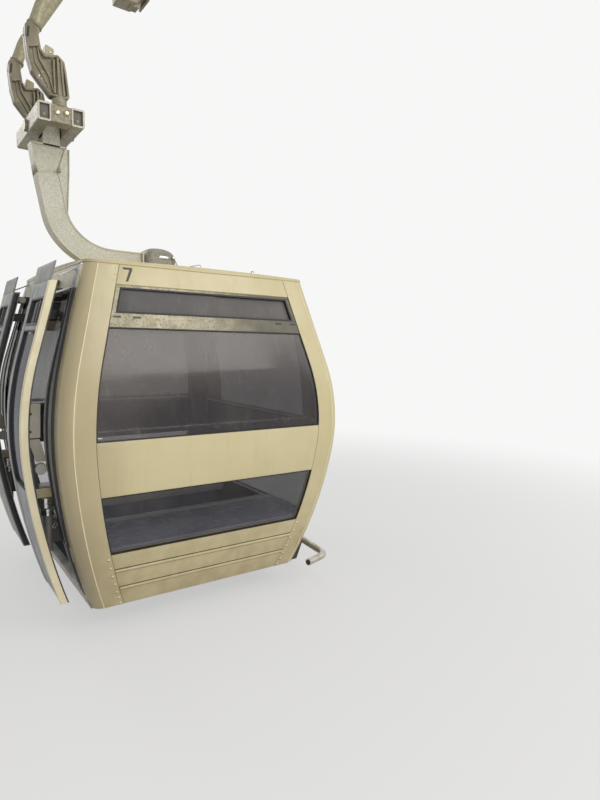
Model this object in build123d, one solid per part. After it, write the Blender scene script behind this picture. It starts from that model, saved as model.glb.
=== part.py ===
"""Cable car cabin on its swan-neck hanger, with the twin-tube carrier and two rope grips above.

Millimetres. The origin lies on the rope's axis, midway between the two grips. +Z is up, +Y runs
along the rope, and the doorway is on the -X side. Heights in this file are given above the cabin's
bottom edge, and row_z() turns them into Z.
"""

import os
from math import cos, hypot, radians, sin, sqrt

from build123d import *

os.makedirs("parts", exist_ok=True)

# Cabin shell. Half sizes are taken at the top edge, and the walls bulge out from there.
ROPE_HEIGHT = 4040.0
HALF_WIDTH = 730.0
HALF_LENGTH = 844.0
TOP = 1988.0
SHOULDER, SHOULDER_BULGE = TOP - 537.0, 139.0
WAIST, WAIST_BULGE = 844.0, 181.0
FOOT_BULGE = -16.0
WALL = 45.0
SEAT_GAP = 0.3
REACH = 4000.0

# Corner posts
POST_FRONT = 181.0
POST_SIDE = 130.0
CORNER_DEPTH = 65.0
CORNER_CAMBER = 0.66

# Heights of the seams on the walls
BOARD_SEAMS = (135.0, 244.0)
LOWER_GLASS_LOW = 354.0
BAND_LOW = 709.0
BAND_HIGH = 1020.0
FASCIA_LOW = TOP - 113.0
BAR_HIGH = FASCIA_LOW - 159.0
BAR_LOW = BAR_HIGH - 81.0
SEAM_HEIGHT = 5.0
SEAM_DEPTH = 7.0

# Panes and the vent strip
PANE = 6.0
PANE_INSET = 7.0
VENT_FRAME_DEPTH = 32.0
VENT_FRAME_INSET = 3.0
VENT_STILE = 24.0
VENT_RAIL = 16.0
VENT_PANE_INSET = 16.0

# Floor and underframe
FLOOR_TOP = 80.0
FLOOR_THICK = 34.0
RAIL_WIDE = 60.0
RAIL_OFFSET_X = 430.0
CROSS_OFFSET_Y = 560.0
BRACKET_THICK = 14.0
BRACKET_DROP = 108.0

# Doorway and its fixed side panels
DOOR_HALF = 425.0
HEADER_LOW = TOP - 138.0
SILL_HIGH = FLOOR_TOP + 12.0
SIDE_STILE = 60.0
SIDE_GLASS_WIDE = 180.0
SIDE_GLASS_LOW = 1205.0
SIDE_GLASS_HIGH = HEADER_LOW - 60.0
SIDE_GLASS_CORNER = 35.0

# Door leaves, standing open outside the wall
LEAF_OUT = 140.0
LEAF_THICK = 45.0
LEAF_INNER_EDGE = 335.0
LEAF_WIDE = 440.0
LEAF_LOW = 60.0
LEAF_HIGH = TOP - 3.0
LEAF_CAP_LOW = LEAF_HIGH - 105.0
LEAF_CAP_THICK = 8.0
LEAF_INNER_STILE = 80.0
LEAF_OUTER_STILE = 42.0
LEAF_GLASS_LOW = 730.0
LEAF_VENT_HIGH = LEAF_HIGH - 195.0
LEAF_VENT_LOW = LEAF_VENT_HIGH - 150.0
LEAF_BAR = 30.0
LEAF_CORNER = 55.0
LEAF_PANE_INSET = 12.0
ARM_WIDE = 46.0
ARM_TUBE_RADIUS = 25.0
ARM_TUBE_LOW = 352.0
ARM_STRIP_HIGH = 1205.0
ARM_STRIP_THICK = 34.0

# Roof and hanger housing
ROOF_RISE = 30.0
ROOF_RIM = 14.0
ROOF_SKIN = 16.0
HOUSING_WIDE = 230.0
HOUSING_ROUND = 48.0
HOUSING_CROWN = 46.0
HOUSING_PLATE = 10.0
HOUSING_PLATE_SIDE = 380.0
ROOF_CROWN = TOP + ROOF_RIM + ROOF_RISE

# Benches and rails
SEAT_TOP = 380.0
SEAT_THICK = 30.0
SEAT_DEEP = 547.0
SEAT_LIP_HIGH = 110.0
SEAT_LIP_THICK = 34.0
SEAT_ROUND = 15.0
KICK_THICK = 20.0
KICK_BACK = 110.0
GRAB_RADIUS = 12.5
GRAB_HEIGHT = 1062.0
GRAB_INSET = 92.0

# Bumper tube on the side away from the doorway
BUMPER_RADIUS = 24.0
BUMPER_X = 940.0
BUMPER_HEIGHT = 55.0
BUMPER_HALF = 600.0
BUMPER_TURN_X = 895.0
BUMPER_TURN_Y = 950.0
BUMPER_END_X = 698.0
BUMPER_END_Y = 1010.0
BUMPER_BEND = 90.0

# Swan neck
NECK_X = -718.0
NECK_WIDE = 140.0
NECK_DEEP = 120.0
NECK_CLEAR = 1.0
NECK_HEIGHT = ROOF_CROWN + HOUSING_PLATE + NECK_CLEAR + NECK_WIDE / 2
NECK_BEND = 375.0
NECK_FLARE_ANGLE = 203.0
NECK_FLARE_HALF = 108.0
NECK_FLARE_HIGH = 2640.0
NECK_SHOULDER = 2760.0
LUG_CLEAR = 6.0
LUG_RADIUS = 60.0

# Carrier frame above it
FRAME_HEIGHT = 2900.0
FRAME_HALF = 330.0
TUBE_WIDE = 76.0
TUBE_HIGH = 105.0
TUBE_WALL = 7.0
TUBE_OFFSET = 95.0
CROSS_LONG = 100.0
CROSS_AT = FRAME_HALF - CROSS_LONG / 2
PIN_RADIUS = 25.0
PIN_FIT = 0.06
PIN_HEAD_RADIUS = 38.0
PIN_HEAD = 16.0
BOSS_RADIUS = 42.5
BOSS_HIGH = 47.0

# Upper arms and grips
CAST_DEEP = 76.0
HORN_RADIUS = 36.0
ROPE_RADIUS = 16.0
GRIP_LONG = 190.0
GRIP_HALF_HIGH = 62.0
GRIP_BACK = 190.0
GRIP_NOSE = 34.0
GRIP_SLOT = 20.0


def row_z(height):
    """Turn a height above the cabin's bottom edge into the row's Z."""
    return height - ROPE_HEIGHT


def tangent_circle(start, direction, end):
    """Centre and radius of the circle that leaves start along direction and passes through end."""
    length = hypot(*direction)
    along = (direction[0] / length, direction[1] / length)
    chord = (end[0] - start[0], end[1] - start[1])
    side = chord[0] * along[1] - chord[1] * along[0]
    radius = (chord[0] ** 2 + chord[1] ** 2) / (2 * side)
    return (start[0] + radius * along[1], start[1] - radius * along[0]), abs(radius)


# The wall line is a straight fall from the top edge, then two arcs that run on from it smoothly.
UPPER_CENTRE, UPPER_RADIUS = tangent_circle(
    (SHOULDER_BULGE, SHOULDER),
    (SHOULDER_BULGE, SHOULDER - TOP),
    (WAIST_BULGE, WAIST),
)
WAIST_DIRECTION = (WAIST - UPPER_CENTRE[1], UPPER_CENTRE[0] - WAIST_BULGE)
LOWER_CENTRE, LOWER_RADIUS = tangent_circle((WAIST_BULGE, WAIST), WAIST_DIRECTION, (FOOT_BULGE, 0))


def bulge(height):
    """How far the wall stands out at a height, from where it is at the top edge."""
    if height >= SHOULDER:
        return SHOULDER_BULGE * (TOP - height) / (TOP - SHOULDER)
    if height >= WAIST:
        return UPPER_CENTRE[0] + sqrt(UPPER_RADIUS**2 - (height - UPPER_CENTRE[1]) ** 2)
    return LOWER_CENTRE[0] + sqrt(LOWER_RADIUS**2 - (height - LOWER_CENTRE[1]) ** 2)


WALL_STATIONS = (0, WAIST / 2, WAIST, (WAIST + SHOULDER) / 2, SHOULDER, TOP)


def wall_edges(place):
    """The wall line from foot to top, with place(bulge, height) giving each point."""
    foot, low, waist, mid, shoulder, top = [place(bulge(h), h) for h in WALL_STATIONS]
    return [ThreePointArc(foot, low, waist), ThreePointArc(waist, mid, shoulder), Line(shoulder, top)]


def barrel_face(half):
    """The region between two facing wall lines, half apart at the top edge."""
    right = wall_edges(lambda out, h: (half + out, row_z(h)))
    left = wall_edges(lambda out, h: (-half - out, row_z(h)))
    ends = [
        Line((half + bulge(h), row_z(h)), (-half - bulge(h), row_z(h)))
        for h in (0, TOP)
    ]
    return make_face(right + left + ends)


def within_x(inset):
    """Everything nearer the middle than the side walls' outer faces less inset."""
    return extrude(Plane.XZ * barrel_face(HALF_WIDTH - inset), REACH, both=True)


def within_y(inset):
    """Everything nearer the middle than the end walls' outer faces less inset."""
    return extrude(Plane.YZ * barrel_face(HALF_LENGTH - inset), REACH, both=True)


def block(x, y, z):
    """A box from three (low, high) pairs, with z as heights."""
    size = [high - low for low, high in (x, y, z)]
    middle = (sum(x) / 2, sum(y) / 2, row_z(sum(z) / 2))
    return Pos(*middle) * Box(*size)


def layer(low, high):
    """Everything between two heights."""
    return block((-REACH, REACH), (-REACH, REACH), (low, high))


def end_slab(low, high, inset, thick, side_gap=SEAT_GAP):
    """A curved slab in the near end wall, between the posts."""
    slab = within_y(inset) - within_y(inset + thick)
    slab = slab & within_x(POST_FRONT + side_gap) & layer(low, high)
    return slab & block((-REACH, REACH), (-REACH, 0), (low, high))


def side_slab(low, high, inset, thick, y_range, sign):
    """A curved slab in a side wall, from y to y, with sign +1 for the side away from the doorway."""
    slab = within_x(inset) - within_x(inset + thick)
    x_range = (0, REACH) if sign > 0 else (-REACH, 0)
    return slab & block(x_range, y_range, (low, high))


def between_posts(slab, gap=SEAT_GAP):
    """Cut a side slab to the room between the two posts."""
    return slab & within_y(POST_SIDE + gap)


def far(shape):
    """The same piece at the far end."""
    return mirror(shape, about=Plane.XZ)


def save(name, shape):
    """Write one node."""
    export_step(Compound(label=name, children=shape.solids()), f"parts/{name}.step")


def corner_posts():
    """Four angle posts that follow the wall line, with the outer corner cambered."""
    ring = within_x(0) & within_y(0)
    ring = ring - (within_x(WALL) & within_y(WALL))
    posts = ring - within_x(POST_FRONT) - within_y(POST_SIDE)
    inside = CORNER_DEPTH * (1 - CORNER_CAMBER)
    path = Wire(wall_edges(lambda out, h: (HALF_WIDTH + out, HALF_LENGTH + out, row_z(h))))
    foot_x = HALF_WIDTH + FOOT_BULGE
    foot_y = HALF_LENGTH + FOOT_BULGE
    outline = [
        ThreePointArc(
            (foot_x - CORNER_DEPTH, foot_y),
            (foot_x - inside, foot_y - inside),
            (foot_x, foot_y - CORNER_DEPTH),
        ),
        Line((foot_x, foot_y - CORNER_DEPTH), (foot_x + CORNER_DEPTH, foot_y - CORNER_DEPTH)),
        Line((foot_x + CORNER_DEPTH, foot_y - CORNER_DEPTH), (foot_x + CORNER_DEPTH, foot_y + CORNER_DEPTH)),
        Line((foot_x + CORNER_DEPTH, foot_y + CORNER_DEPTH), (foot_x - CORNER_DEPTH, foot_y + CORNER_DEPTH)),
        Line((foot_x - CORNER_DEPTH, foot_y + CORNER_DEPTH), (foot_x - CORNER_DEPTH, foot_y)),
    ]
    section = Pos(0, 0, row_z(0)) * make_face(outline)
    camber = sweep(section, path=path, normal=Vector(0, 0, 1))
    post = posts & block((0, REACH), (0, REACH), (0, TOP))
    post = post - camber
    return {
        "post_side_far": post,
        "post_side_near": mirror(post, about=Plane.XZ),
        "post_door_far": mirror(post, about=Plane.YZ),
        "post_door_near": mirror(mirror(post, about=Plane.YZ), about=Plane.XZ),
    }


def lapped(slab, make_slab):
    """Cut the seams between lapped boards."""
    for seam in BOARD_SEAMS:
        slab = slab - make_slab(seam - SEAM_HEIGHT, seam)
    return slab


def end_wall():
    """The near end wall's pieces by name."""
    boards = lapped(
        end_slab(0, LOWER_GLASS_LOW, 0, WALL),
        lambda low, high: end_slab(low, high, -1, SEAM_DEPTH + 1, -1),
    )
    vent_hole = end_slab(BAR_HIGH + VENT_RAIL, FASCIA_LOW - VENT_RAIL, -1, WALL + 2, VENT_STILE)
    vent_frame = end_slab(BAR_LOW + SEAT_GAP, FASCIA_LOW - SEAT_GAP, VENT_FRAME_INSET, VENT_FRAME_DEPTH)
    return {
        "fascia": end_slab(FASCIA_LOW, TOP, 0, WALL),
        "vent_frame": vent_frame - vent_hole,
        "end_glass": end_slab(BAND_HIGH + SEAT_GAP, BAR_LOW - SEAT_GAP, PANE_INSET, PANE),
        "end_band": end_slab(BAND_LOW, BAND_HIGH, 0, WALL),
        "lower_glass": end_slab(LOWER_GLASS_LOW + SEAT_GAP, BAND_LOW - SEAT_GAP, PANE_INSET, PANE),
        "end_boards": boards,
    }


def vent_pane():
    """The pane of the near vent strip."""
    return end_slab(
        BAR_HIGH + VENT_RAIL + SEAT_GAP,
        FASCIA_LOW - VENT_RAIL - SEAT_GAP,
        VENT_PANE_INSET,
        PANE,
        VENT_STILE + SEAT_GAP,
    )


def side_wall():
    """The wall away from the doorway, by name."""
    whole = (-REACH, REACH)

    def slab(low, high, inset=0.0, thick=WALL, gap=SEAT_GAP):
        return between_posts(side_slab(low, high, inset, thick, whole, 1), gap)

    boards = lapped(slab(0, LOWER_GLASS_LOW), lambda low, high: slab(low, high, -1, SEAM_DEPTH + 1, -1))
    return {
        "side_fascia": slab(FASCIA_LOW, TOP),
        "side_glass": slab(BAND_HIGH + SEAT_GAP, FASCIA_LOW - SEAT_GAP, PANE_INSET, PANE),
        "side_band": slab(BAND_LOW, BAND_HIGH),
        "side_lower_glass": slab(LOWER_GLASS_LOW + SEAT_GAP, BAND_LOW - SEAT_GAP, PANE_INSET, PANE),
        "side_boards": boards,
    }


def doorway():
    """Header, sill and the two fixed side panels with their panes."""
    whole = (-REACH, REACH)
    header = between_posts(side_slab(HEADER_LOW, TOP, 0, WALL, whole, -1))
    sill = between_posts(side_slab(0, SILL_HIGH, 0, WALL, whole, -1))
    near = (-REACH, -DOOR_HALF)
    panel = between_posts(side_slab(SILL_HIGH + SEAT_GAP, HEADER_LOW - SEAT_GAP, 0, WALL, near, -1))
    edge = -DOOR_HALF - SIDE_STILE
    hole = window_block((edge - SIDE_GLASS_WIDE, edge), (SIDE_GLASS_LOW, SIDE_GLASS_HIGH), SIDE_GLASS_CORNER)
    pane_y = (edge - SIDE_GLASS_WIDE + SEAT_GAP, edge - SEAT_GAP)
    pane_z = (SIDE_GLASS_LOW + SEAT_GAP, SIDE_GLASS_HIGH - SEAT_GAP)
    pane = window_block(pane_y, pane_z, SIDE_GLASS_CORNER - SEAT_GAP)
    pane = pane & (within_x(PANE_INSET) - within_x(PANE_INSET + PANE))
    return {
        "door_header": header,
        "door_sill": sill,
        "side_panel_near": panel - hole,
        "side_panel_far": far(panel - hole),
        "side_panel_glass": Compound(children=(pane + far(pane)).solids()),
    }


def door_leaf():
    """The near leaf with its vent left open, and the pane in its tall window."""
    outer = -LEAF_INNER_EDGE - LEAF_WIDE
    span = (outer, -LEAF_INNER_EDGE)
    leaf = side_slab(LEAF_LOW, LEAF_CAP_LOW, -LEAF_OUT, LEAF_THICK, span, -1)
    leaf = leaf + side_slab(LEAF_CAP_LOW - 1, LEAF_HIGH, -LEAF_OUT, LEAF_CAP_THICK, span, -1)
    hole_y = (outer + LEAF_OUTER_STILE, -LEAF_INNER_EDGE - LEAF_INNER_STILE)
    through = within_x(-LEAF_OUT - 1) - within_x(-LEAF_OUT + LEAF_THICK + 1)
    seat = within_x(-LEAF_OUT + LEAF_PANE_INSET) - within_x(-LEAF_OUT + LEAF_PANE_INSET + PANE)
    vent = block((-REACH, 0), hole_y, (LEAF_VENT_LOW, LEAF_VENT_HIGH))
    glass_high = LEAF_VENT_LOW - LEAF_BAR
    window = window_block(hole_y, (LEAF_GLASS_LOW, glass_high), LEAF_CORNER)
    pane_y = (hole_y[0] + SEAT_GAP, hole_y[1] - SEAT_GAP)
    pane_z = (LEAF_GLASS_LOW + SEAT_GAP, glass_high - SEAT_GAP)
    pane = seat & window_block(pane_y, pane_z, LEAF_CORNER - SEAT_GAP)
    return leaf - (through & (vent + window)), pane


def window_block(y, z, corner):
    """A bar across the doorway side with both lower corners rounded."""
    bar = block((-REACH, 0), y, z)
    lower = bar.edges().filter_by(Axis.X).group_by(Axis.Z)[0]
    return fillet(lower, corner)


# What spans the room between the side panel and the leaf: y of the middle, low and high
DOOR_ARMS = (
    (-650.0, 400.0, 530.0),
    (-650.0, 668.0, 722.0),
    (-455.0, 1680.0, 1736.0),
    (-480.0, 1810.0, 1860.0),
)


def door_arms():
    """Blocks between wall and leaf, with a tube below and a curved strip above the middle one."""
    room = LEAF_OUT - LEAF_THICK
    gap = within_x(SEAT_GAP - room) - within_x(-SEAT_GAP)
    arms = None
    for middle, low, high in DOOR_ARMS:
        arm = gap & block((-REACH, 0), (middle - ARM_WIDE / 2, middle + ARM_WIDE / 2), (low, high))
        arms = arm if arms is None else arms + arm
    middle, low = DOOR_ARMS[0][:2]
    high = DOOR_ARMS[1][1]
    tube_x = -HALF_WIDTH - bulge((ARM_TUBE_LOW + high) / 2) - room / 2
    tube_mid = (ARM_TUBE_LOW + high + 1) / 2
    tube = Pos(tube_x, middle, row_z(tube_mid)) * Cylinder(ARM_TUBE_RADIUS, high + 1 - ARM_TUBE_LOW)
    tube = tube & (within_x(SEAT_GAP - room) - within_x(-SEAT_GAP))
    strip = within_x(SEAT_GAP - room) - within_x(SEAT_GAP - room + ARM_STRIP_THICK)
    strip_z = (DOOR_ARMS[1][2] - 1, ARM_STRIP_HIGH)
    strip = strip & block((-REACH, 0), (middle - ARM_WIDE / 2, middle + ARM_WIDE / 2), strip_z)
    return arms + tube + strip


def floor():
    """Floor pan, and the rails and brackets under it."""
    low = FLOOR_TOP - FLOOR_THICK
    pan = within_x(WALL + SEAT_GAP) & within_y(WALL + SEAT_GAP) & layer(low, FLOOR_TOP)
    inside = within_x(WALL + SEAT_GAP) & within_y(WALL + SEAT_GAP) & layer(0, low)
    half = RAIL_WIDE / 2
    rails = None
    for x in (-RAIL_OFFSET_X, RAIL_OFFSET_X):
        rail = inside & block((x - half, x + half), (-REACH, REACH), (0, low))
        rails = rail if rails is None else rails + rail
    for y in (-CROSS_OFFSET_Y, CROSS_OFFSET_Y):
        rails = rails + (inside & block((-REACH, REACH), (y - half, y + half), (0, low)))
        rails = rails + bumper_bracket(y)
    return pan, rails


def bumper_bracket(y):
    """A plate that drops under the side boards from the cross rail and rises to the bumper tube."""
    inner = RAIL_OFFSET_X
    tube_low = BUMPER_HEIGHT - BUMPER_RADIUS
    outline = Polyline(
        (inner + RAIL_WIDE, row_z(-BRACKET_DROP)),
        (BUMPER_X - BUMPER_RADIUS, row_z(-BRACKET_DROP)),
        (BUMPER_X + BUMPER_RADIUS, row_z(tube_low - BUMPER_RADIUS)),
        (BUMPER_X + BUMPER_RADIUS, row_z(BUMPER_HEIGHT)),
        (BUMPER_X - 2 * BUMPER_RADIUS, row_z(BUMPER_HEIGHT)),
        (BUMPER_X - 4 * BUMPER_RADIUS, row_z(-SEAT_GAP)),
        (inner, row_z(-SEAT_GAP)),
        close=True,
    )
    plate = extrude(Plane.XZ.offset(-y) * make_face(outline), BRACKET_THICK / 2, both=True)
    foot = block((inner, inner + RAIL_WIDE), (y - RAIL_WIDE / 2, y + RAIL_WIDE / 2), (-RAIL_WIDE / 4, SEAT_GAP))
    seat = Pos(BUMPER_X, y, row_z(BUMPER_HEIGHT)) * Rot(90, 0, 0)
    return plate + foot - seat * Cylinder(BUMPER_RADIUS + SEAT_GAP, 4 * BRACKET_THICK)


def bumper_tube():
    """A bent tube along the side, with both ends curled in past the corners."""
    height = row_z(BUMPER_HEIGHT)
    path = FilletPolyline(
        (BUMPER_END_X, -BUMPER_END_Y, height),
        (BUMPER_TURN_X, -BUMPER_TURN_Y, height),
        (BUMPER_X, -BUMPER_HALF, height),
        (BUMPER_X, BUMPER_HALF, height),
        (BUMPER_TURN_X, BUMPER_TURN_Y, height),
        (BUMPER_END_X, BUMPER_END_Y, height),
        radius=BUMPER_BEND,
    )
    section = Plane(path @ 0, z_dir=path % 0) * Circle(BUMPER_RADIUS)
    return sweep(section, path=path)


def roof():
    """A shallow dome on a flat rim that sits on the walls."""
    half_diagonal = hypot(HALF_WIDTH, HALF_LENGTH)
    radius = (half_diagonal**2 + ROOF_RISE**2) / (2 * ROOF_RISE)
    inside = CORNER_DEPTH * (1 - CORNER_CAMBER)
    corner = [
        (HALF_WIDTH - CORNER_DEPTH, HALF_LENGTH),
        (HALF_WIDTH - inside, HALF_LENGTH - inside),
        (HALF_WIDTH, HALF_LENGTH - CORNER_DEPTH),
    ]
    edges = []
    for sx, sy in ((1, 1), (1, -1), (-1, -1), (-1, 1)):
        edges.append(ThreePointArc(*[(sx * x, sy * y) for x, y in corner]))
    first, last = corner[0], corner[2]
    for sign in (1, -1):
        edges.append(Line((-first[0], sign * first[1]), (first[0], sign * first[1])))
        edges.append(Line((sign * last[0], -last[1]), (sign * last[0], last[1])))
    plan = Pos(0, 0, row_z(TOP)) * make_face(edges)
    top = ROOF_CROWN - TOP
    dome_centre = row_z(ROOF_CROWN) - radius
    outer = extrude(plan, top) & (Pos(0, 0, dome_centre) * Sphere(radius))
    room = extrude(Pos(0, 0, row_z(TOP)) * Rectangle(2 * (HALF_WIDTH - WALL), 2 * (HALF_LENGTH - WALL)), top)
    return outer - (room & (Pos(0, 0, dome_centre) * Sphere(radius - ROOF_SKIN)))


def housing():
    """The hanger's housing on the roof: a plate, and a block with rounded edges."""
    half = HOUSING_WIDE / 2
    plate_half = HOUSING_PLATE_SIDE / 2
    plate_top = ROOF_CROWN + HOUSING_PLATE
    top = NECK_HEIGHT + NECK_WIDE / 2 + HOUSING_CROWN
    body = block((-half, half), (-half, half), (plate_top, top))
    body = fillet(body.edges().filter_by(Axis.Z), HOUSING_ROUND)
    body = fillet(body.faces().sort_by(Axis.Z)[-1].edges(), HOUSING_CROWN)
    plate = block((-plate_half, plate_half), (-plate_half, plate_half), (ROOF_CROWN, plate_top))
    plate = fillet(plate.edges().filter_by(Axis.Z), HOUSING_ROUND)
    return body + plate


def swan_neck():
    """A box-section arm from the housing, round the bend and flared up to the lug between the tubes."""
    start = -HOUSING_WIDE / 2 - SEAT_GAP
    bend_top = NECK_HEIGHT + NECK_BEND
    half = NECK_WIDE / 2
    inner, outer = NECK_BEND - half, NECK_BEND + half
    centre = (NECK_X + NECK_BEND, row_z(bend_top))
    lug_half = TUBE_OFFSET - TUBE_WIDE / 2 - LUG_CLEAR
    lug_foot = FRAME_HEIGHT - TUBE_HIGH / 2 - LUG_RADIUS

    def on_arc(radius, degrees):
        angle = radians(degrees)
        return (centre[0] + radius * cos(angle), centre[1] + radius * sin(angle))

    middle = (270 + NECK_FLARE_ANGLE) / 2
    edges = [
        Line((start, row_z(NECK_HEIGHT - half)), on_arc(outer, 270)),
        ThreePointArc(on_arc(outer, 270), on_arc(outer, middle), on_arc(outer, NECK_FLARE_ANGLE)),
        Polyline(
            on_arc(outer, NECK_FLARE_ANGLE),
            (NECK_X - NECK_FLARE_HALF, row_z(NECK_FLARE_HIGH)),
            (NECK_X - NECK_FLARE_HALF, row_z(NECK_SHOULDER)),
            (NECK_X - lug_half, row_z(lug_foot)),
            (NECK_X - lug_half, row_z(FRAME_HEIGHT + LUG_RADIUS)),
            (NECK_X + lug_half, row_z(FRAME_HEIGHT + LUG_RADIUS)),
            (NECK_X + lug_half, row_z(lug_foot)),
            (NECK_X + NECK_FLARE_HALF, row_z(NECK_SHOULDER)),
            (NECK_X + NECK_FLARE_HALF, row_z(NECK_FLARE_HIGH)),
            on_arc(inner, NECK_FLARE_ANGLE),
        ),
        ThreePointArc(on_arc(inner, NECK_FLARE_ANGLE), on_arc(inner, middle), on_arc(inner, 270)),
        Line(on_arc(inner, 270), (start, row_z(NECK_HEIGHT + half))),
        Line((start, row_z(NECK_HEIGHT + half)), (start, row_z(NECK_HEIGHT - half))),
    ]
    neck = extrude(Plane.XZ * make_face(edges), NECK_DEEP / 2, both=True)
    pivot = Pos(NECK_X, 0, row_z(FRAME_HEIGHT)) * Rot(0, 90, 0)
    keep = pivot * Cylinder(LUG_RADIUS, 4 * lug_half) + block(
        (-REACH, REACH), (-NECK_DEEP / 2, NECK_DEEP / 2), (0, FRAME_HEIGHT)
    )
    return (neck & keep) - pivot * Cylinder(PIN_RADIUS + PIN_FIT, 4 * lug_half)


def swing_pin():
    """The pin that the hanger swings on, with a head at each end."""
    half = TUBE_OFFSET + TUBE_WIDE / 2 + SEAT_GAP
    pivot = Pos(NECK_X, 0, row_z(FRAME_HEIGHT)) * Rot(0, 90, 0)
    pin = Cylinder(PIN_RADIUS, 2 * half + PIN_HEAD)
    for sign in (-1, 1):
        pin = pin + Pos(0, 0, sign * (half + PIN_HEAD / 2)) * Cylinder(PIN_HEAD_RADIUS, PIN_HEAD)
    return pivot * pin


def carrier_frame():
    """Two square tubes along the rope, tied by a block near each end that carries a round boss."""
    half_high = TUBE_HIGH / 2
    z = (FRAME_HEIGHT - half_high, FRAME_HEIGHT + half_high)
    bore_z = (z[0] + TUBE_WALL, z[1] - TUBE_WALL)
    frame = None
    for x in (NECK_X - TUBE_OFFSET, NECK_X + TUBE_OFFSET):
        half = TUBE_WIDE / 2
        tube = block((x - half, x + half), (-FRAME_HALF, FRAME_HALF), z)
        tube = fillet(tube.edges().filter_by(Axis.Y), TUBE_WALL)
        inner = half - TUBE_WALL
        tube = tube - block((x - inner, x + inner), (-FRAME_HALF - 1, FRAME_HALF + 1), bore_z)
        frame = tube if frame is None else frame + tube
    gap = TUBE_OFFSET - TUBE_WIDE / 2 + TUBE_WALL
    tie_z = (z[0] + TUBE_WALL / 2, z[1] - TUBE_WALL / 2)
    boss_high = TUBE_HIGH / 2 + BOSS_HIGH
    for y in (-CROSS_AT, CROSS_AT):
        tie = block((NECK_X - gap, NECK_X + gap), (y - CROSS_LONG / 2, y + CROSS_LONG / 2), tie_z)
        boss = Pos(NECK_X, y, row_z(FRAME_HEIGHT + boss_high / 2)) * Cylinder(BOSS_RADIUS, boss_high)
        pin_high = boss_high + 2 * PIN_RADIUS
        pin = Pos(NECK_X, y, row_z(FRAME_HEIGHT + pin_high / 2)) * Cylinder(PIN_RADIUS, pin_high)
        frame = frame + tie + boss + pin
    pivot = Pos(NECK_X, 0, row_z(FRAME_HEIGHT)) * Rot(0, 90, 0)
    return frame - pivot * Cylinder(PIN_RADIUS + PIN_FIT, 4 * TUBE_OFFSET)


# Outline of an upper casting: x from the boss's axis, height above the boss's top
CASTING = (
    (-54.0, 0.0),
    (54.0, 0.0),
    (44.0, 80.0),
    (36.0, 150.0),
    (25.0, 209.0),
    (-10.0, 240.0),
    (-80.0, 220.0),
    (-104.0, 250.0),
    (-123.0, 369.0),
    (-161.0, 385.0),
    (-189.0, 359.0),
    (-187.0, 292.0),
    (-177.0, 197.0),
    (-156.0, 119.0),
    (-104.0, 57.0),
)
CASTING_ROUND = 16.0
HORN_FOOT = (-158.0, 300.0)
HORN_LEAN = (70.0, 210.0)
HORN_BEND = 300.0


def upper_arm():
    """The near casting on its boss, and the round horn that curves back over to the rope."""
    y = -CROSS_AT
    base = FRAME_HEIGHT + TUBE_HIGH / 2 + BOSS_HIGH + 2 * SEAT_GAP
    points = [(NECK_X + x, row_z(base + h)) for x, h in CASTING]
    face = make_face(Polyline(*points, close=True))
    face = fillet(face.vertices(), CASTING_ROUND)
    casting = extrude(Plane.XZ.offset(-y) * face, CAST_DEEP / 2, both=True)
    foot = (NECK_X + HORN_FOOT[0], base + HORN_FOOT[1])
    end_x = -GRIP_BACK + SEAT_GAP
    knee = (foot[0] + HORN_LEAN[0], foot[1] + HORN_LEAN[1])
    crown = (end_x - HORN_BEND, ROPE_HEIGHT)
    path = FilletPolyline(
        (foot[0], y, row_z(foot[1])),
        (knee[0], y, row_z(knee[1])),
        (crown[0], y, row_z(crown[1])),
        (end_x, y, row_z(ROPE_HEIGHT)),
        radius=HORN_BEND,
    )
    section = Plane(path @ 0, z_dir=path % 0) * Circle(HORN_RADIUS)
    horn = sweep(section, path=path)
    bore = Pos(NECK_X, y, row_z(base)) * Cylinder(PIN_RADIUS + PIN_FIT, 4 * PIN_RADIUS + 4)
    return casting + horn - bore


def rope_grip():
    """The near grip: a block behind the rope with two jaws round it, open below."""
    y = (-CROSS_AT - GRIP_LONG / 2, -CROSS_AT + GRIP_LONG / 2)
    body = block((-GRIP_BACK, GRIP_NOSE), y, (ROPE_HEIGHT - GRIP_HALF_HIGH, ROPE_HEIGHT + GRIP_HALF_HIGH))
    body = fillet(body.edges().filter_by(Axis.Y), CASTING_ROUND)
    rope = Pos(0, -CROSS_AT, 0) * Rot(90, 0, 0) * Cylinder(ROPE_RADIUS, GRIP_LONG + 2)
    slot = block(
        (-GRIP_SLOT / 2, GRIP_SLOT / 2),
        (y[0] - 1, y[1] + 1),
        (ROPE_HEIGHT - GRIP_HALF_HIGH - 1, ROPE_HEIGHT),
    )
    horn = Pos(-GRIP_BACK, -CROSS_AT, 0) * Rot(0, 90, 0) * Cylinder(HORN_RADIUS + SEAT_GAP, 4 * SEAT_GAP)
    return body - rope - slot - horn


def bench():
    """The near bench: a seat across the end wall with a deep front lip, and a kick panel set back."""
    back = WALL + SEAT_GAP
    low = SEAT_TOP - SEAT_THICK
    front = -HALF_LENGTH - bulge(SEAT_TOP) + back + SEAT_DEEP
    room = within_x(WALL + 4 * SEAT_GAP) & within_y(back)
    seat = block((-REACH, REACH), (-REACH, front), (low, SEAT_TOP))
    lip = block((-REACH, REACH), (front - SEAT_LIP_THICK, front), (SEAT_TOP - SEAT_LIP_HIGH, SEAT_TOP))
    seat = seat + lip
    nose = seat.edges().filter_by(Axis.X).group_by(Axis.Y)[-1].sort_by(Axis.Z)
    seat = room & fillet(nose, SEAT_ROUND)
    kick_y = (front - KICK_BACK - KICK_THICK, front - KICK_BACK)
    kick = room & block((-REACH, REACH), kick_y, (FLOOR_TOP + SEAT_GAP, low + 1))
    return seat + kick


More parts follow.
